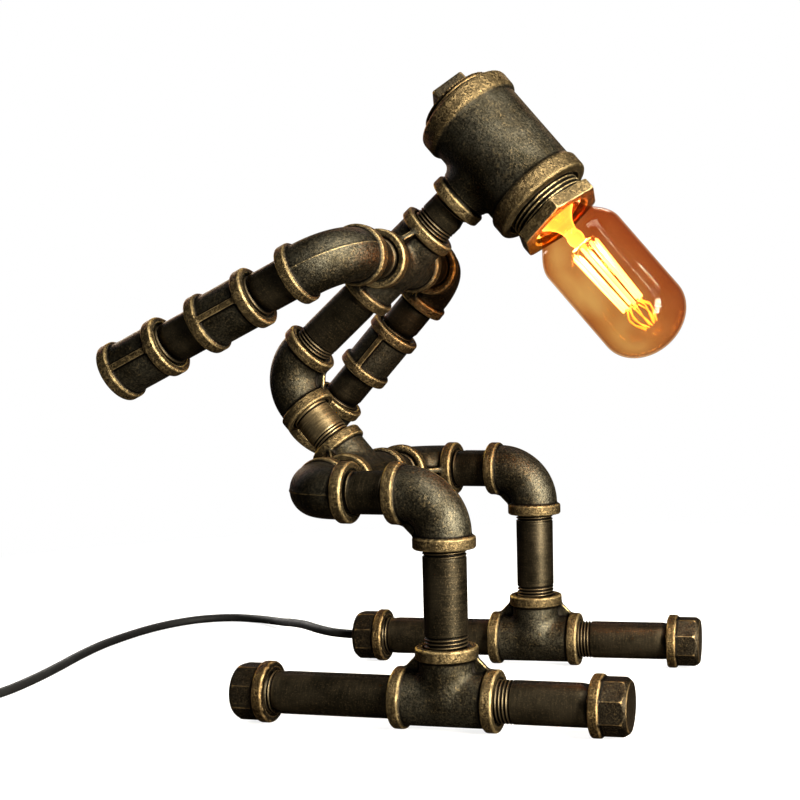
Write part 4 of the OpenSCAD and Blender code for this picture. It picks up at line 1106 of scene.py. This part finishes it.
def dress_nodes():
    for material, nodes in (
        (RUBBER, ("cord_bush", "lead_lower", "lead_upper")),
        (ROCKER, ("switch_rocker",)),
        (CERAMIC, ("holder_body",)),
        (BRASS, ("holder_shell", "centre_contact")),
        (NICKEL, ("bulb_cap", "bulb_tip")),
        (GLASS_BLACK, ("bulb_insulator",)),
    ):
        for node in nodes:
            paint(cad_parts[node], material)


cord_pieces = make_cord_pieces()
dress_nodes()

# ---- Floor and light ----

FILL, FLOOR_GLOW = 0.16, 0.78
GLOW_Q, GLOW_R, GLOW_POWER = 26, 0.006, 1.2
TRUNK, NEAR_SIDE = (-0.03, 0, 0.17), (0.08, 0, 0.2)
SOFT, CLEAR = (1.0, 0.95, 0.88), (1.0, 0.97, 0.92)
LIGHTS = (
    # name, place and target in metres, width and height, watts, colour
    ("key", (0.84, -0.5, 0.4), (0, 0, 0.2), (0.26, 0.7), 105, (1.0, 0.94, 0.8)),
    ("rear", (-0.85, 0.55, 0.5), TRUNK, (0.5, 0.5), 14, SOFT),
    ("streak", (0.52, -0.33, 0.77), NEAR_SIDE, (0.02, 0.3), 1.5, CLEAR),
    ("spot", (0.62, 0, 0.88), NEAR_SIDE, (0.05, 0.05), 1.5, CLEAR),
    ("top", (0.3, -0.25, 0.95), TRUNK, (0.4, 0.3), 12, (1.0, 0.95, 0.84)),
    ("back", (-0.2, 0.8, 0.8), TRUNK, (0.6, 0.15), 6, SOFT),
)


def make_floor():
    """White to the camera. To other rays it is dark near the figure, and as
    bright as the room farther away."""
    points, faces = lathe([(r, 0.0) for r in (0.01, 400.0, 1500.0, 6000.0)], 64)
    mesh = bpy.data.meshes.new("floor")
    mesh.from_pydata((points * MM - [0, 0, 0.0002]).tolist(), [], faces)
    floor = bpy.data.objects.new("floor", mesh)
    bpy.context.scene.collection.objects.link(floor)
    s = Shade("floor")
    cloud = s.noise(s.place(), 3.0, 2.0)
    seen = s.node("ShaderNodeLightPath").outputs["Is Camera Ray"]
    color = s.mix(seen, (0.06, 0.055, 0.05), s.mix(cloud, grey(0.28), grey(0.32)))
    glow = s.math("MULTIPLY", seen, FLOOR_GLOW)
    near = s.principled(color, 0.8, Emission_Color=grey(1.0), Emission_Strength=glow)
    white = {"Color": grey(1.0), "Strength": s.ramp(seen, 0, 1, FILL, 1.0)}
    far = s.node("ShaderNodeEmission", white).outputs[0]
    away = s.ramp(s.vector("LENGTH", s.place()), 0.25, 0.75)
    fade = s.node("ShaderNodeMixShader", {0: away, 1: near, 2: far}).outputs[0]
    mesh.materials.append(s.done(fade))


def make_world():
    """White to the camera, FILL to other rays."""
    world = bpy.data.worlds.new("studio")
    world.use_nodes = True
    tree = world.node_tree
    background = tree.nodes["Background"]
    background.inputs["Color"].default_value = (1, 1, 1, 1)
    seen = tree.nodes.new("ShaderNodeLightPath").outputs["Is Camera Ray"]
    level = tree.nodes.new("ShaderNodeMapRange")
    level.inputs["To Min"].default_value = FILL
    tree.links.new(seen, level.inputs["Value"])
    tree.links.new(level.outputs["Result"], background.inputs["Strength"])
    bpy.context.scene.world = world
    bpy.context.scene.view_settings.view_transform = "Standard"


def add_light(name, kind, at, power, color):
    data = bpy.data.lights.new(name, kind)
    data.energy, data.color = power, color
    lamp = bpy.data.objects.new(name, data)
    lamp.location = at
    bpy.context.scene.collection.objects.link(lamp)
    return lamp


def make_lights():
    for name, at, target, size, power, color in LIGHTS:
        lamp = add_light(name, "AREA", at, power, color)
        lamp.rotation_euler = (Vector(target) - Vector(at)).to_track_quat("-Z", "Y").to_euler()
        lamp.data.shape = "RECTANGLE"
        lamp.data.size, lamp.data.size_y = size
    in_bulb = (BULB @ Vector((0, 0, GLOW_Q))) * MM
    glow = add_light("bulb_glow", "POINT", in_bulb, GLOW_POWER, (1.0, 0.5, 0.14))
    glow.data.shadow_soft_size = GLOW_R


make_floor()
make_world()
make_lights()
